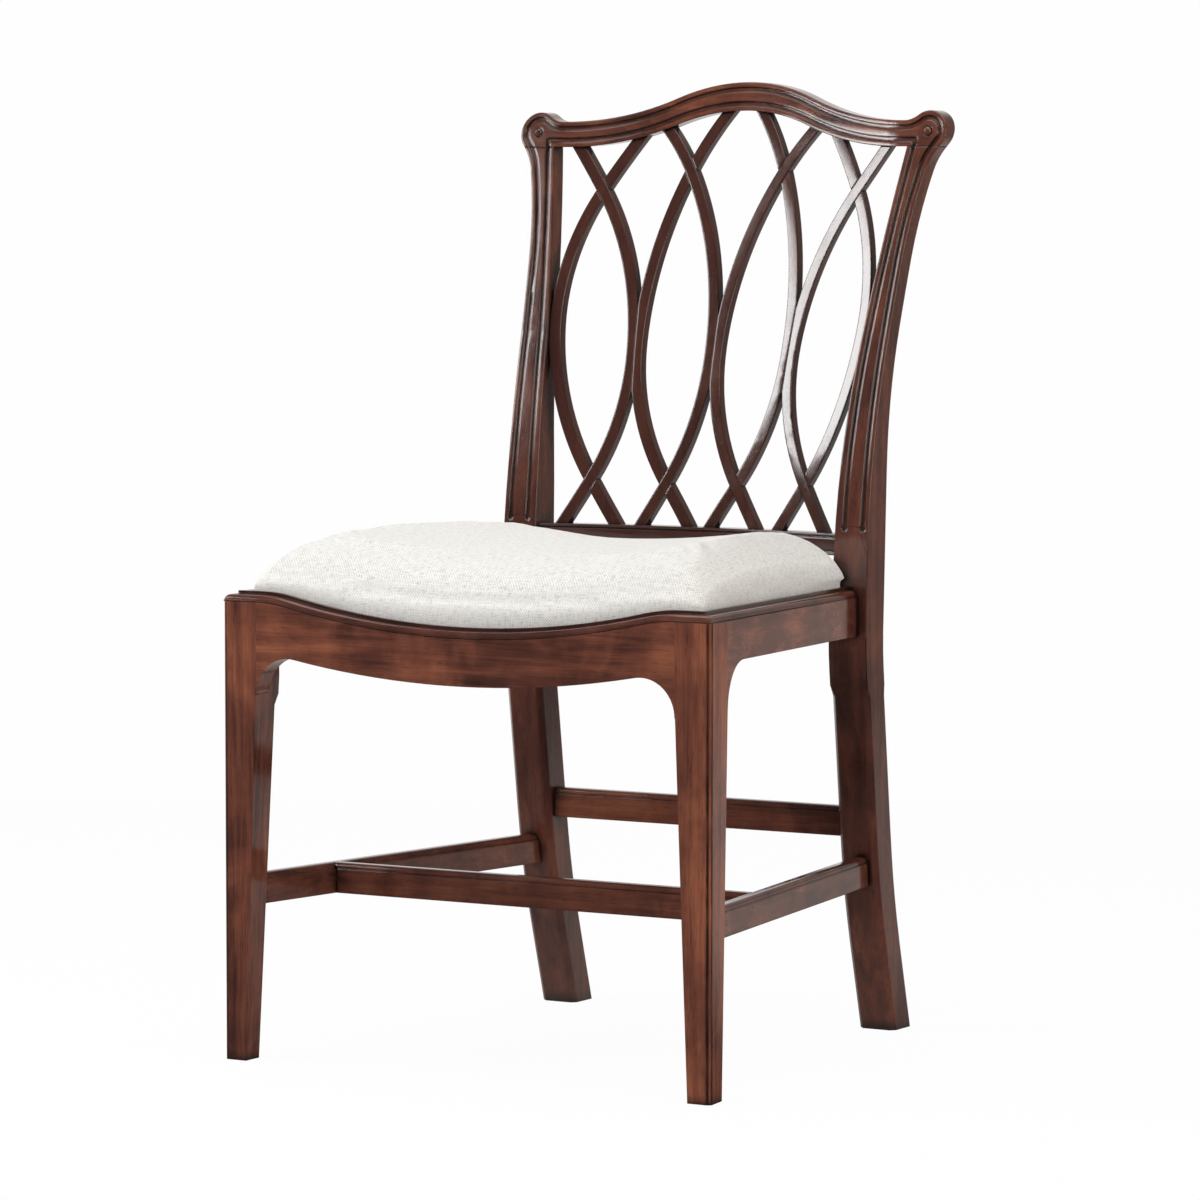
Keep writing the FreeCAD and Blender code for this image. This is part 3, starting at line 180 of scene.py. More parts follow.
def mahogany(name, along, offset, depth=0.0, edge=0.0024, edge_glaze_and_shade=0.75, bead=None):
    """Lacquered mahogany: red and dark clouds, fine grain along the piece, glaze and painted shade in
    the corners, small dents.
    Depth is painted shade: how much darker the same stain is painted than on the lit front of the chair.
    Edge is the radius of the arrises, and the darkening after it how dark the glaze and painted shade
    lie on them. Bead is the plan place of a corner bead, whose grooves get glaze and painted shade."""
    start, feed = finish(name, IOR=1.6, Specular_IOR_Level=0.5)
    place = start.node("TexCoord", out="Object")

    def stretched(marks):
        sizes = [marks[1]] * 3
        sizes[along] = marks[0]
        return place.scaled(sizes, offset)

    mottle = place.scaled(MOTTLE, MOTTLE_START).cloud(4.0, 0.6, 0.5).between(0.32, 0.70)
    flame = stretched(FLAME).cloud(3.0, 0.6, 0.4).between(0.30, 0.72)
    fibre = stretched(FIBRE).cloud(3.0, 0.65)
    pore = stretched(PORES).cloud(1.0).between(0.60, 0.74)
    glow = mottle * 0.58 + flame * 0.42
    colour = glow.between(-0.06, 0.54).tint(DARK_STAIN_AND_SHADE, STAIN_BROWN)
    colour = glow.between(0.40, 1.0).tint(colour, STAIN_RED)
    # Painted shade: the stain is darkened by depth on pieces that get less light than the front
    colour = start.tint(colour, DARK_STAIN_AND_SHADE, factor=depth)
    streak = fibre.between(0.30, 0.75) * 0.34
    colour = streak.tint(colour, DARK_STAIN_AND_SHADE)
    colour = (pore * 0.45).tint(colour, GLAZE_AND_SHADE)

    # Painted shade: corners and places between parts that are hidden from light are tinted dark; tight
    # crevices get glaze and painted shade
    open_sky = start.node("AmbientOcclusion", {"samples": 6}, {"Distance": CORNER_REACH}, "AO")
    colour = (open_sky.between(0.90, 0.42) * 0.92).tint(colour, GLAZE_AND_SHADE)
    crevice = start.node("AmbientOcclusion", {"samples": 5}, {"Distance": CREVICE_REACH}, "AO")
    colour = (crevice.between(0.86, 0.45) * 0.9).tint(colour, GLAZE_AND_SHADE)
    # Glaze and painted shade on the arrises and inner corners, less where the finish is worn in patches
    soft = start.node("Bevel", {"samples": 6}, {"Radius": edge})
    flat = start.node("NewGeometry", out="True Normal")
    turn = soft.node("VectorMath", {"operation": "DOT_PRODUCT"}, {0: soft, 1: flat}, "Value")
    arris = (1 - turn).between(0.01, 0.16)
    patchy = stretched(WORN_PATCHES).cloud(2.0).between(0.42, 0.66)
    colour = (arris * (1 - patchy) * edge_glaze_and_shade).tint(colour, GLAZE_AND_SHADE)
    # Glaze and painted shade in the two grooves beside the corner bead
    if bead:
        spot = place.node("SeparateXYZ", {}, {0: place})
        out, back = spot.also("X").size() - bead[0], spot.also("Y") - bead[1]
        front_groove = out.size().between(GROOVE_FAINT, GROOVE_FULL)
        front_groove = front_groove * back.between(-FACE_FROM, -FACE_TO)
        side_groove = back.size().between(GROOVE_FAINT, GROOVE_FULL) * out.between(FACE_FROM, FACE_TO)
        colour = ((front_groove + side_groove) * (1 - patchy * 0.4) * 0.85).tint(colour, GLAZE_AND_SHADE)

    cell = place.node("TexVoronoi", {}, {"Vector": place, "Scale": DENTS}, "Distance")
    pick = cell.node("SeparateColor", {}, {0: cell.also("Color")})
    dent = cell.between(0.085, 0.03) * pick.between(0.86, 0.90)
    colour = (dent * 0.8).tint(colour, GLAZE_AND_SHADE)

    rough = 0.05 + mottle * 0.06 + fibre * 0.05 + dent * 0.25 + patchy * 0.05
    wave = stretched(LACQUER_WAVES).cloud(2.0)
    height = fibre * 0.05 + wave * 0.45 - dent * 1.5 - pore * 0.06
    return feed(Base_Color=colour, Roughness=rough, Normal=height.bump(0.35, 0.0006, soft))


# Marks of the plain wood per metre along and across the grain
PLAIN_RINGS = (5.0, 90.0)
PLAIN_FIBRE = (26.0, 900.0)


def plain_wood(name, along, light, dark, offset):
    """Planed secondary wood with open grain and no lacquer."""
    start, feed = finish(name, Specular_IOR_Level=0.3)
    place = start.node("TexCoord", out="Object")

    def stretched(marks):
        sizes = [marks[1]] * 3
        sizes[along] = marks[0]
        return place.scaled(sizes, offset)

    ring = stretched(PLAIN_RINGS).cloud(4.0, 0.6, 0.5).between(0.34, 0.68)
    fibre = stretched(PLAIN_FIBRE).cloud(2.0, 0.6)
    fleck = fibre.between(0.56, 0.74)
    colour = ring.tint(light, dark)
    colour = (fleck * 0.5).tint(colour, dark)
    height = fibre * 0.5 + ring * 0.3
    rough = 0.55 + fibre * 0.2
    return feed(Base_Color=colour, Roughness=rough, Normal=height.bump(0.3, 0.0005))


# From one thread to the next but one
LINEN_PITCH = 0.0030
WEBBING_PITCH = 0.0032
CAMBRIC_PITCH = 0.0011
# Slubs per metre along and across a thread
SLUB_ALONG, SLUB_ACROSS = 110, 750


def thread_pattern(start, a, b, pitch):
    """Height and slubs of a plain weave whose threads run along two directions, in metres."""
    turn = 2 * math.pi / pitch
    waver = start.node("CombineXYZ", {}, {0: a * 60, 1: b * 60}).cloud(1.0) * 1.6
    over = (a * turn + waver).maths("SINE", a * turn + waver)
    under = (b * turn + waver).maths("SINE", b * turn + waver)
    warp = start.node("CombineXYZ", {}, {0: a * SLUB_ALONG, 1: b * SLUB_ACROSS}).cloud(2.0, 0.6)
    weft = start.node("CombineXYZ", {}, {0: a * SLUB_ACROSS, 1: b * SLUB_ALONG}).cloud(2.0, 0.6)
    return over * under * 0.5 + 0.5, warp.between(0.34, 0.70), weft.between(0.34, 0.70)


def linen(name):
    """Undyed linen in a plain weave, with thick and thin threads."""
    start, feed = finish(name, Specular_IOR_Level=0.2, Sheen_Weight=0.25, Sheen_Roughness=0.5)
    place = start.node("TexCoord", out="Object")
    spot = place.node("SeparateXYZ", {}, {0: place})
    x, y, z = spot.also("X"), spot.also("Y"), spot.also("Z")
    facing = place.node("SeparateXYZ", {}, {0: place.also("Normal")})
    side = facing.also("X").size().between(0.55, 0.78)
    upright = facing.also("Z").size().between(0.62, 0.38)
    top_view = thread_pattern(start, x, y, LINEN_PITCH)
    front_view = thread_pattern(start, x, z, LINEN_PITCH)
    side_view = thread_pattern(start, y, z, LINEN_PITCH)
    layers = []
    for top, front, flank in zip(top_view, front_view, side_view):
        layers.append(top * (1 - upright) + (front * (1 - side) + flank * side) * upright)
    weave, warp, weft = layers
    thread = warp * 0.5 + weft * 0.5
    colour = thread.between(0.18, 0.62).tint(LINEN_LIGHT, LINEN_MID)
    colour = (thread.between(0.50, 0.92) * 0.62).tint(colour, LINEN_DARK)
    colour = (weave.between(0.55, 0.05) * 0.75).tint(colour, LINEN_DARK)
    height = weave * 0.55 + thread * 0.45
    rough = 0.82 + weave * 0.1
    return feed(Base_Color=colour, Roughness=rough, Normal=height.bump(0.45, 0.0006))


def cloth(name, light, dark, pitch):
    """Coarse flat cloth for the hidden straps and the dust cover."""
    start, feed = finish(name, Specular_IOR_Level=0.2)
    place = start.node("TexCoord", out="Object")
    spot = place.node("SeparateXYZ", {}, {0: place})
    weave, warp, weft = thread_pattern(start, spot.also("X"), spot.also("Y"), pitch)
    shade = weave * 0.5 + warp * 0.3 + weft * 0.2
    colour = shade.tint(dark, light)
    height = weave + warp * 0.4
    rough = 0.8 + weave * 0.1
    return feed(Base_Color=colour, Roughness=rough, Normal=height.bump(0.5, 0.0005))


def metal(name, tone):
    """Bare metal, dull in patches."""
    start, feed = finish(name, Metallic=1.0)
    place = start.node("TexCoord", out="Object")
    wear = place.scaled((300, 300, 300)).cloud(3.0)
    colour = wear.between(0.4, 0.75).tint(tone, GLAZE_AND_SHADE)
    return feed(Base_Color=colour, Roughness=0.28 + wear * 0.25)


# Finish of each piece of the frame, with the grain along its length and painted shade by where it stands

def with_sides(*names):
    return [n + s for n in names for s in ("_left", "_right")]


LEGS = with_sides("front_leg")
POSTS = with_sides("rear_post")
BARS = ["trellis_bar_%d" % i for i in range(1, 9)]
FRONT = ["front_seat_rail"]
FRONT_MOULDING = ["seat_moulding_front"]
CROSSINGS = ["rear_seat_rail", "crest_rail", "cross_stretcher", "rear_stretcher", "ear_bosses"]
LOWER_RAIL = ["lower_back_rail"]
SIDES = with_sides("side_seat_rail")
SIDE_MOULDINGS = with_sides("seat_moulding")
STRETCHERS = with_sides("side_stretcher")
BLOCKS = with_sides("corner_block_front", "corner_block_rear")
SEAT_FRAME = ["seat_frame_front", "seat_frame_rear", "seat_frame_left", "seat_frame_right"]

ARRIS = 0.0006                      # rounding of the arrises
SHARP = math.radians(32)            # edges that turn by more than this are rounded
ONE_POINT = 0.00002                 # points closer than this are one
FRAME_INSET = 0.0042                # from the cloth to the wood of the seat frame
BEAD_INSET = (0.0034, 0.0039)       # from a leg's outer and front face to the middle of its corner bead
FLUSH = {"edge": 0.0007, "edge_glaze_and_shade": 0.25}        # pieces that meet flush, with little glaze and painted shade at the joint
# mouldings: stain painted darker as painted shade under the cushion, with glaze and painted shade on the
# arrises
MOULDED = {"depth": 0.55, "edge": 0.0014, "edge_glaze_and_shade": 0.8}


def dress(names, material):
    for name in names:
        piece = nodes[name]
        piece.data.materials.clear()
        piece.data.materials.append(material)


def weld_points(piece):
    weld = piece.modifiers.new("weld", "WELD")
    weld.merge_threshold = ONE_POINT


def soften(names, width):
    """Rounded arrises, so that every edge catches the light."""
    for name in names:
        piece = nodes[name]
        weld_points(piece)
        round_over = piece.modifiers.new("arris", "BEVEL")
        round_over.width = width
        round_over.segments = 2
        round_over.limit_method = "ANGLE"
        round_over.angle_limit = SHARP
        round_over.use_clamp_overlap = False
        round_over.harden_normals = False
        even = piece.modifiers.new("even", "WEIGHTED_NORMAL")
        even.keep_sharp = True


soften(POSTS + BARS + CROSSINGS + LOWER_RAIL + STRETCHERS, ARRIS)
leg_low, leg_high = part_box("front_leg_right")
bead_place = (leg_high[0] - BEAD_INSET[0], leg_low[1] + BEAD_INSET[1])
# Each depth below is painted shade: pieces behind, at the sides, under the cushion and low down get the
# front's stain painted darker
dress(LEGS, mahogany("mahogany_legs", ALONG_Z, (0.3, 1.7, 0.9), bead=bead_place, **FLUSH))
dress(FRONT, mahogany("mahogany_front", ALONG_X, (2.1, 0.4, 3.3), **FLUSH))
dress(POSTS, mahogany("mahogany_posts", ALONG_Z, (4.3, 0.7, 1.9), depth=0.56))
dress(BARS, mahogany("mahogany_trellis", ALONG_Z, (2.3, 5.7, 0.4), depth=0.88, edge=0.0022))
dress(CROSSINGS, mahogany("mahogany_crosswise", ALONG_X, (1.1, 3.4, 2.3), depth=0.42))
dress(SIDES, mahogany("mahogany_sides", ALONG_Y, (5.2, 2.6, 0.2), depth=0.15, **FLUSH))
dress(FRONT_MOULDING, mahogany("mahogany_front_moulding", ALONG_X, (2.1, 0.4, 3.3), **MOULDED))
dress(SIDE_MOULDINGS, mahogany("mahogany_side_mouldings", ALONG_Y, (5.2, 2.6, 0.2), **MOULDED))
dress(LOWER_RAIL, mahogany("mahogany_lower_rail", ALONG_X, (1.1, 3.4, 2.3), depth=0.88))
dress(STRETCHERS, mahogany("mahogany_stretchers", ALONG_Y, (3.2, 1.6, 0.7), depth=0.35))
dress(BLOCKS, plain_wood("block_wood", ALONG_X, BEECH_LIGHT, BEECH_DARK, (0.2, 0.5, 0.1)))
dress(SEAT_FRAME, plain_wood("seat_frame_wood", ALONG_X, BEECH_LIGHT, BEECH_DARK, (1.2, 0.1, 0.7)))


def tuck_in(names, depth):
    """Draws hidden wood back from the cloth that covers it."""
    for name in names:
        weld_points(nodes[name])
        inset = nodes[name].modifiers.new("inset", "DISPLACE")
        inset.mid_level = 0.0
        inset.strength = -depth


tuck_in(SEAT_FRAME, FRAME_INSET)


# Upholstery

DOWNWARD = -0.5                     # a face whose normal has a lower z faces down
VOXEL = 0.005                       # grain of the cushion's mesh
TACKED_REACH = 0.032                # linen this near to the foot is drawn tight
TACKED_FADE = 0.014
CORNER_SPREAD = 0.085               # width of the soft front corners
STUFFING_STEPS = 20
STUFFING_CAP = 0.004                # how far the stuffing may push the linen
EDGE_BAND = 0.02                    # strip of the cushion that gives its width in front or behind
SWELL = 0.0055                      # how far the rear corners stand over the mouldings
SWELL_SPREAD = 0.07
SWELL_FROM, SWELL_TO = 0.003, 0.055     # heights above the mouldings
PLEAT_TOP = 0.026                   # height of the pleats above the mouldings
PLEAT_FADE = 0.02
PLEAT_REACH = 0.05                  # how far the pleats run in from the corner
PLEAT_FOOT = 0.0025                 # from the front of the cushion to the corner of the pleats
TUCK_W, TUCK_DEPTH = 0.0028, 0.0030
FOLD_AWAY, FOLD_W, FOLD_HEIGHT = 0.0052, 0.0035, 0.0011     # the fold beside the tuck


def new_piece(name, mesh, body, material, replaced):
    """A piece of the scene that rides on a body in place of CAD nodes."""
    piece = bpy.data.objects.new(name, mesh)
    scene.collection.objects.link(piece)
    mesh.materials.clear()
    mesh.materials.append(material)
    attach(piece, body)
    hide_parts(*replaced)
    return piece


def cover_outside():
    """Closed copy of the outside of the linen cover, and the points along its foot."""
    bm = bmesh.new()
    bm.from_mesh(nodes["seat_cover"].data)
    bmesh.ops.remove_doubles(bm, verts=bm.verts, dist=ONE_POINT)
    under = [f for f in bm.faces if f.normal.z < DOWNWARD]
    bmesh.ops.delete(bm, geom=under, context="FACES")
    top = max(bm.verts, key=lambda v: v.co.z)
    shell, wave = {top}, [top]
    while wave:
        vert = wave.pop()
        for edge in vert.link_edges:
            other = edge.other_vert(vert)
            if edge.link_faces and other not in shell:
                shell.add(other)
                wave.append(other)
    bmesh.ops.delete(bm, geom=[v for v in bm.verts if v not in shell], context="VERTS")
    rim = [e for e in bm.edges if e.is_boundary]
    foot = [v.co.copy() for e in rim for v in e.verts]
    bmesh.ops.triangle_fill(bm, edges=rim, use_beauty=True)
    bmesh.ops.recalc_face_normals(bm, faces=bm.faces)
    mesh = bpy.data.meshes.new("cushion")
    bm.to_mesh(mesh)
    bm.free()
    return mesh, foot


def settled(piece):
    """The piece's mesh with its modifiers applied."""
    found = piece.evaluated_get(bpy.context.evaluated_depsgraph_get())
    return bpy.data.meshes.new_from_object(found)


def points_of(mesh):
    flat = np.zeros(len(mesh.vertices) * 3)
    mesh.vertices.foreach_get("co", flat)
    return flat.reshape(-1, 3)


def put_points(mesh, points):
    mesh.vertices.foreach_set("co", points.ravel())
    mesh.update()


def relaxed(mesh, held, rounds, back=-0.52):
    """Evens out the facets of the solid, leaving the held points alone.
    Without the step back it also rounds them."""
    ends = np.zeros(len(mesh.edges) * 2, int)
    mesh.edges.foreach_get("vertices", ends)
    a, b = ends.reshape(-1, 2).T
    points = points_of(mesh)
    count = np.bincount(a, minlength=len(points)) + np.bincount(b, minlength=len(points))
    free = (1 - held)[:, None]
    for step in range(rounds * 2):
        total = np.zeros_like(points)
        np.add.at(total, a, points[b])
        np.add.at(total, b, points[a])
        push = 0.5 if step % 2 == 0 else back
        points += free * push * (total / count[:, None] - points)
    put_points(mesh, points)


def stuffed(mesh, held, cap):
    """Cloth under pressure from the stuffing, tacked down along its foot."""
    piece = bpy.data.objects.new("cushion_form", mesh)
    scene.collection.objects.link(piece)
    tacked = piece.vertex_groups.new(name="tacked")
    for i, weight in enumerate(held):
        if weight > 0:
            tacked.add([i], float(weight), "REPLACE")
    sewn = piece.modifiers.new("linen", "CLOTH")
    sewn.settings.vertex_group_mass = "tacked"
    sewn.settings.quality = 6
    sewn.settings.mass = 0.25
    sewn.settings.tension_stiffness = 25
    sewn.settings.compression_stiffness = 25
    sewn.settings.bending_stiffness = 0.6
    sewn.settings.use_pressure = True
    sewn.settings.uniform_pressure_force = 4.0
    sewn.settings.effector_weights.gravity = 0.0
    before = points_of(mesh)
    for step in range(1, STUFFING_STEPS + 1):
        scene.frame_set(step)
    after_mesh = settled(piece)
    after = points_of(after_mesh)
    bpy.data.meshes.remove(after_mesh)
    scene.frame_set(1)
    bpy.data.objects.remove(piece)
    move = after - before
    far = np.linalg.norm(move, axis=1, keepdims=True)
    move *= np.minimum(1.0, cap / np.maximum(far, 1e-9))
    put_points(mesh, before + move)


def with_modifier(mesh, kind, **settings):
    """A new mesh, changed by one modifier."""
    piece = bpy.data.objects.new("cushion_form", mesh)
    scene.collection.objects.link(piece)
    step = piece.modifiers.new("step", kind)
    for key, value in settings.items():
        setattr(step, key, value)
    made = settled(piece)
    bpy.data.objects.remove(piece)
    return made


def full_rear_corners(mesh):
    """Stuffing that swells over the mouldings in front of the posts."""
    points = points_of(mesh)
    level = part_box("seat_moulding_left")[1][2]
    rear = points[:, 1].max()
    half = np.abs(points[points[:, 1] > rear - EDGE_BAND][:, 0]).max()
    away = np.hypot(np.abs(points[:, 0]) - half, points[:, 1] - rear)
    rise = np.clip((points[:, 2] - level) / SWELL_FROM, 0, 1)
    rise = rise * np.clip((level + SWELL_TO - points[:, 2]) / SWELL_TO, 0, 1)
    points[:, 0] += np.sign(points[:, 0]) * SWELL * np.exp(-(away / SWELL_SPREAD) ** 2) * rise
    put_points(mesh, points)


def corner_pleats(mesh):
    """Folded corners at the front, where the linen is tucked down."""
    points = points_of(mesh)
    front = points[:, 1].min()
    half = points[points[:, 1] < front + EDGE_BAND][:, 0].max()
    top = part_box("seat_moulding_left")[1][2] + PLEAT_TOP
    for s in (1, -1):
        rel = points[:, :2] - np.array([s * half, front + PLEAT_FOOT])
        inward = np.array([-s, 1.0]) / math.sqrt(2)
        along = rel @ inward
        off = rel[:, 0] * inward[1] - rel[:, 1] * inward[0]
        rise = np.clip((top - points[:, 2]) / PLEAT_FADE, 0, 1)
        tuck = np.exp(-(off / TUCK_W) ** 2) * (along < PLEAT_REACH) * rise
        points[:, :2] += tuck[:, None] * inward * TUCK_DEPTH
        fold = np.exp(-((off - s * FOLD_AWAY) / FOLD_W) ** 2) * (along < PLEAT_REACH) * rise
        points[:, :2] -= fold[:, None] * inward * FOLD_HEIGHT
    put_points(mesh, points)


def tree_of(mesh):
    return BVHTree.FromPolygons([v.co for v in mesh.vertices], [p.vertices for p in mesh.polygons])


def make_cushion():
    """The stuffed linen: an even mesh over the cover, rounded in front, swollen behind and tucked in."""
    mesh, foot = cover_outside()
    skin = tree_of(mesh)
    mesh = with_modifier(mesh, "REMESH", mode="VOXEL", voxel_size=VOXEL)
    tree = KDTree(len(foot))
    for i, p in enumerate(foot):
        tree.insert(p, i)
    tree.balance()
    reach = np.array([tree.find(v.co)[2] for v in mesh.vertices])
    inside = np.array([v.normal.z < DOWNWARD for v in mesh.vertices])
    points = points_of(mesh)
    across = np.abs(points[:, 0])
    away = np.hypot(across - across.max(), points[:, 1] - points[:, 1].min())
    corner = np.exp(-(away / CORNER_SPREAD) ** 2)
    held = np.clip((TACKED_REACH - reach) / TACKED_FADE, 0, 1)
    held[inside] = 1
    for i in np.nonzero(held > 0)[0]:
        spot = skin.find_nearest(Vector(points[i]))[0]
        points[i] += held[i] * (np.array(spot) - points[i])
    put_points(mesh, points)
    relaxed(mesh, held, 8, 0.0)
    relaxed(mesh, 1 - (1 - held) * corner, 70, 0.0)
    relaxed(mesh, held, 8)
    stuffed(mesh, held, STUFFING_CAP)
    relaxed(mesh, held, 6)
    mesh = with_modifier(mesh, "SUBSURF", levels=1, render_levels=1)
    full_rear_corners(mesh)
    corner_pleats(mesh)
    mesh.shade_smooth()
    return mesh


LINEN = linen("linen")
cushion = new_piece("seat_cushion", make_cushion(), "seat", LINEN, ["seat_cover", "seat_foam"])


def height_finder(name, look):
    """Heights of a CAD node at plan points, seen from above with look -1 or from below with look 1."""
    tree = tree_of(nodes[name].data)

    def height(x, y, otherwise):
        hit = tree.ray_cast(Vector((x, y, -look)), Vector((0, 0, look)))[0]
        return hit.z if hit else otherwise

    return height


def grid_mesh(name, columns, rows, place):
    """A sheet of four-sided faces, with its points given by shares of its width and its length."""
    verts = [place(i / columns, j / rows) for j in range(rows + 1) for i in range(columns + 1)]
    n = columns + 1
    faces = [(j * n + i, j * n + i + 1, j * n + i + 1 + n, j * n + i + n)
             for j in range(rows) for i in range(columns)]
    mesh = bpy.data.meshes.new(name)
    mesh.from_pydata(verts, [], faces)
    mesh.shade_smooth()
    return mesh


HEM = 0.0006                        # from the end of the CAD sheet to the end of the cloth
STRAP_W = 0.044
STRAP_T = 0.0013
STRAP_PITCH = (0.056, 0.0448)       # in front and behind
STRAP_SHARE = 0.99                  # of its width that a strap keeps under tension
STRAP_RIB = 0.00025                 # height of the three ribs along a strap
STRAP_SUNK = 0.0003
COVER_SUNK = 0.0002
COVER_SAG = 0.0022
COVER_EDGE = 0.0004
ROW = 0.002                         # points this near to an end of the dust cover belong to it


def make_straps(material):
    """Woven straps from the front to the back of the seat frame, one beside the other."""
    low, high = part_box("seat_webbing")
    height = height_finder("seat_webbing", -1)
    for k in range(-2, 3):
        def place(u, v):
            y = low[1] + HEM + (high[1] - low[1] - 2 * HEM) * v
            middle = k * (STRAP_PITCH[0] + (STRAP_PITCH[1] - STRAP_PITCH[0]) * v)
            x = middle + STRAP_W * (u - 0.5) * STRAP_SHARE
            rib = STRAP_RIB * math.cos(2 * math.pi * 3 * u)
            return x, y, height(x, y, low[2]) - STRAP_SUNK + rib

        mesh = grid_mesh("strap", 12, 48, place)
        mesh = with_modifier(mesh, "SOLIDIFY", thickness=STRAP_T, offset=-1.0)
        strap = new_piece("seat_strap_%d" % (k + 3), mesh, "seat", material, ["seat_webbing"])


def make_dust_cover(material):
    """Thin cloth drawn tight under the seat frame."""
    low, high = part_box("seat_dust_cover")
    points = np.array([v.co for v in nodes["seat_dust_cover"].data.vertices])
    ends = [points[np.abs(points[:, 1] - y) < ROW, 0] for y in (low[1], high[1])]
    half = [np.abs(end).max() - COVER_EDGE for end in ends]
    height = height_finder("seat_dust_cover", 1)

    def place(u, v):
        y = low[1] + HEM + (high[1] - low[1] - 2 * HEM) * v
        x = (2 * u - 1) * (half[0] + (half[1] - half[0]) * v)
        sag = COVER_SAG * math.sin(math.pi * u) * math.sin(math.pi * v)
        return x, y, height(x, y, low[2]) - COVER_SUNK - sag

    cover = new_piece("dust_cover_cloth", grid_mesh("dust_cover", 72, 48, place), "seat",
                      material, ["seat_dust_cover"])


make_straps(cloth("webbing", JUTE_LIGHT, JUTE_DARK, WEBBING_PITCH))
make_dust_cover(cloth("dust_cloth", CAMBRIC_LIGHT, CAMBRIC_DARK, CAMBRIC_PITCH))


# Screws that hold the corner blocks

HEAD_R = 0.0044
HEAD_T = 0.0012
SLOT_W = 0.0011
HEAD_STEPS = 16                     # facets of half a head
FLOOR_STEPS = 24                    # facets of the slot's floor
SCREW_SPREAD = 0.27                 # of the block's width, from its middle to a screw
SEAT_MIDDLE_Y = -0.07


def screw_head():
    """Round head with a slot across it, its back on the plane z = 0."""
    bm = bmesh.new()
    start = math.asin(SLOT_W / 2 / HEAD_R)
    for s in (1, -1):
        angles = [start + (math.pi - 2 * start) * i / HEAD_STEPS for i in range(HEAD_STEPS + 1)]
        rim = [(HEAD_R * math.cos(a), s * HEAD_R * math.sin(a)) for a in angles]
        side = s * SLOT_W / 2
        rings = []
        for scale, z in ((1.0, 0.0), (1.0, HEAD_T * 0.5), (0.82, HEAD_T)):
            shrunk = [(x * scale, side + (y - side) * scale, z) for x, y in rim]
            rings.append([bm.verts.new(point) for point in shrunk])
        for near, far in zip(rings, rings[1:]):
            for i in range(len(rim)):
                j = (i + 1) % len(rim)
                bm.faces.new((near[i], near[j], far[j], far[i]))
        bm.faces.new(rings[-1])
    floor = [bm.verts.new((HEAD_R * math.cos(a), HEAD_R * math.sin(a), HEAD_T * 0.25))
             for a in np.linspace(0, 2 * math.pi, FLOOR_STEPS + 1)[:-1]]
    bm.faces.new(floor)
    bmesh.ops.recalc_face_normals(bm, faces=bm.faces)
    mesh = bpy.data.meshes.new("screw")
    bm.to_mesh(mesh)
    bm.free()
    return mesh


def inner_face(name):
    """Of a corner block's face towards the middle of the seat: its middle, the way out of it, the way
    along it and its width."""
    mesh = nodes[name].data
    middle = sum((v.co for v in mesh.vertices), Vector()) / len(mesh.vertices)
    towards = Vector((-middle.x, SEAT_MIDDLE_Y - middle.y, 0)).normalized()
    best = max(mesh.polygons, key=lambda p: p.normal.dot(towards) * 10 + p.area)
    level = [p for p in mesh.polygons if p.normal.dot(best.normal) > 0.999]
    rim = [mesh.vertices[i].co for p in level for i in p.vertices]
    centre = (Vector(np.min(rim, axis=0)) + Vector(np.max(rim, axis=0))) / 2
    across = Vector((0, 0, 1)).cross(best.normal).normalized()
    spread = [p.dot(across) for p in rim]
    return centre, best.normal.copy(), across, max(spread) - min(spread)


def make_screws(material):
    """Two screws in each corner block, each turned its own way."""
    random.seed(7)
    for name in BLOCKS:
        centre, out, across, width = inner_face(name)
        for s in (-1, 1):
            turn = out.to_track_quat("Z", "Y").to_matrix().to_4x4()
            mesh = screw_head()
            mesh.transform(turn @ Matrix.Rotation(random.uniform(0, 3), 4, "Z"))
            mesh.transform(Matrix.Translation(centre + across * s * width * SCREW_SPREAD))
            piece = bpy.data.objects.new("screw_%s_%d" % (name[13:], (s + 3) // 2), mesh)
            scene.collection.objects.link(piece)
            mesh.materials.append(material)
            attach(piece, "frame")


make_screws(metal("screw_steel", STEEL))


# Camera, light and ground

LENS, SENSOR = 168.70, 36.0
CAMERA_PLACE = (2.8923, -4.9194, 0.8904)
CAMERA_DIP, CAMERA_TURN = 4.3796, 30.6039       # in degrees
STAGE_TURN = 30.6                   # in degrees
STAGE_HALF = 6.0
FLOOR_FRONT, FLOOR_BACK = -1.7, 2.2
BEND_R = 1.2
BEND_STEPS = 12
WALL_TOP = 4.5
WHITE = (1, 1, 1, 1)
SKY_LIGHT = (0.97, 0.98, 1.0, 1)
SKY_SEEN = (0.99, 0.99, 0.99, 1)
STUDIO_PAINT = (0.86, 0.86, 0.86, 1)
# Shades of the room in the lacquer: in front, far right and behind
ROOM_FRONT = (0.06, 0.06, 0.06, 1)
ROOM_RIGHT = (0.26, 0.24, 0.225, 1)
ROOM_BEHIND = (0.46, 0.44, 0.42, 1)


def aim(thing, target):
    thing.rotation_euler = (Vector(target) - thing.location).to_track_quat("-Z", "Y").to_euler()


eye = bpy.data.cameras.new("camera")
eye.lens = LENS
eye.sensor_width = SENSOR
eye.clip_end = 100.0
camera = bpy.data.objects.new("camera", eye)
camera.location = CAMERA_PLACE
camera.rotation_euler = (math.radians(90 - CAMERA_DIP), 0, math.radians(CAMERA_TURN))
scene.collection.objects.link(camera)
scene.camera = camera


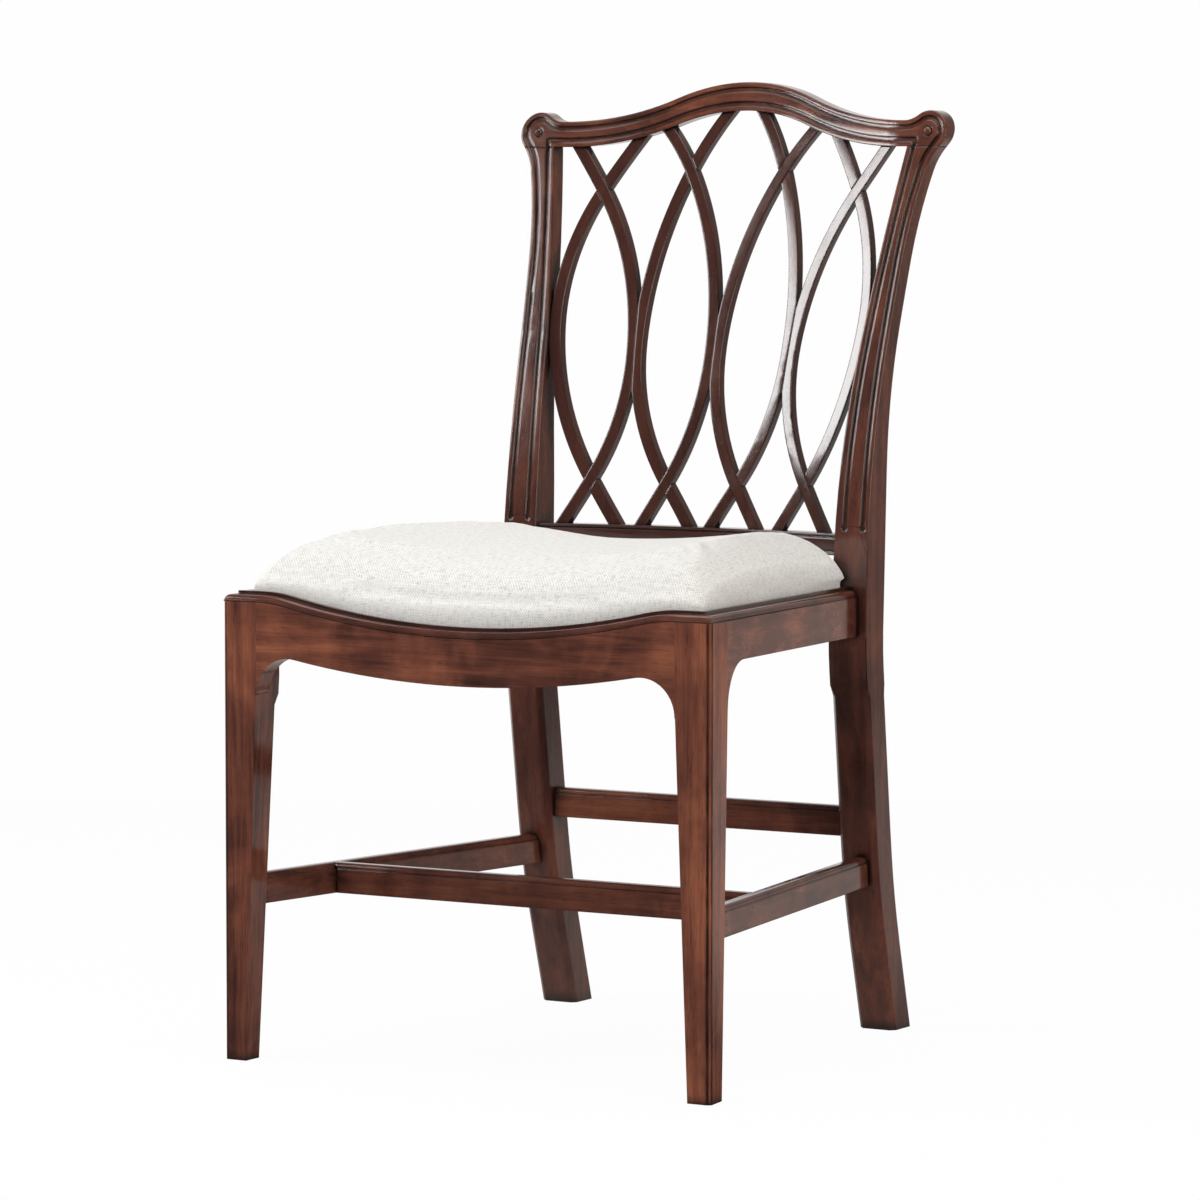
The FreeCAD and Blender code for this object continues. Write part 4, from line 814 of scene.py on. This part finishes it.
def panel(name, place, target, width, height, power, tone=(1, 1, 1)):
    """A soft flat lamp that faces its target."""
    light = bpy.data.lights.new(name, "AREA")
    light.color = tone
    light.shape = "RECTANGLE"
    light.size = width
    light.size_y = height
    light.energy = power
    lamp = bpy.data.objects.new(name, light)
    lamp.location = place
    scene.collection.objects.link(lamp)
    aim(lamp, target)
    return lamp


panel("window_left", (-2.315, -1.43, 1.66), (0, 0, 0.8), width=1.38, height=0.98, power=54)
panel("ceiling", (0.1, -0.3, 2.9), (0, 0, 0.4), width=2.6, height=2.6, power=50)
fill = panel("fill_front", (0.7, -4.2, 1.5), (0, 0, 0.5), width=1.2, height=0.9, power=20)
fill.visible_glossy = False
panel("fill_right", (3.2, -0.9, 1.5), (0, 0, 0.5), width=1.6, height=1.6, power=56,
      tone=(1.0, 0.95, 0.90))


def pale_sky():
    """Faint light from all round, which the camera sees as white."""
    sky = bpy.data.worlds.new("sky")
    scene.world = sky
    sky.use_nodes = True
    sky.node_tree.nodes.clear()
    start = Value(sky.node_tree)
    path = start.node("LightPath", out="Is Camera Ray")
    seen = path + path.also("Is Transmission Ray")
    faint = start.node("Background", {}, {"Color": SKY_LIGHT, "Strength": 0.08})
    white = start.node("Background", {}, {"Color": SKY_SEEN, "Strength": 1.0})
    mixed = start.node("MixShader", {}, {0: seen, 1: faint, 2: white})
    start.node("OutputWorld", {}, {"Surface": mixed}, None)


pale_sky()


def studio_white():
    """White to the camera, plain paint to the light, and the shades of a room in reflections."""
    material = bpy.data.materials.new("studio_white")
    material.use_nodes = True
    tree = material.node_tree
    tree.nodes.clear()
    start = Value(tree)
    path = start.node("LightPath", out="Is Camera Ray")
    seen = path + path.also("Is Transmission Ray")
    paint = start.node("BsdfDiffuse", {}, {"Color": STUDIO_PAINT})
    glow = start.node("Emission", {}, {"Color": WHITE, "Strength": 1.0})
    spot = start.node("SeparateXYZ", {}, {0: start.node("TexCoord", out="Object")})
    back = spot.also("Y")
    shade = spot.between(3.4, 1.8).tint(ROOM_RIGHT, ROOM_BEHIND)
    shade = back.between(-0.3, 0.5).tint(ROOM_FRONT, shade)
    shade = (spot.between(2.6, 0.9) * back.between(1.3, 2.4)).tint(shade, WHITE)
    dim = start.node("Emission", {}, {"Color": shade, "Strength": 1.0})
    ground = start.node("MixShader", {}, {0: seen * 0.965, 1: paint, 2: glow})
    mixed = start.node("MixShader", {}, {0: path.also("Is Glossy Ray"), 1: ground, 2: dim})
    start.node("OutputMaterial", {}, {"Surface": mixed}, None)
    return material


def stage_strip(name, profile, material):
    """Part of the studio: a profile of distance back and height, drawn out sideways."""
    verts = [(x, y, z) for x in (-STAGE_HALF, STAGE_HALF) for y, z in profile]
    n = len(profile)
    faces = [(i, i + n, i + n + 1, i + 1) for i in range(n - 1)]
    mesh = bpy.data.meshes.new(name)
    mesh.from_pydata(verts, [], faces)
    mesh.shade_smooth()
    mesh.materials.append(material)
    strip = bpy.data.objects.new(name, mesh)
    strip.rotation_euler = (0, 0, math.radians(STAGE_TURN))
    scene.collection.objects.link(strip)
    return strip


def make_studio():
    """Pale floor, and a curved wall behind the chair that returns light.
    The camera doesn't see the wall, so it hides nothing from other sides."""
    material = studio_white()
    bend = [(FLOOR_BACK, 0.0)]
    for i in range(1, BEND_STEPS + 1):
        a = math.radians(90 * i / BEND_STEPS)
        bend.append((FLOOR_BACK + BEND_R * math.sin(a), BEND_R - BEND_R * math.cos(a)))
    stage_strip("floor", [(FLOOR_FRONT, 0.0), (FLOOR_BACK, 0.0)], material)
    wall = stage_strip("wall", bend + [(FLOOR_BACK + BEND_R, WALL_TOP)], material)
    wall.visible_camera = False


make_studio()
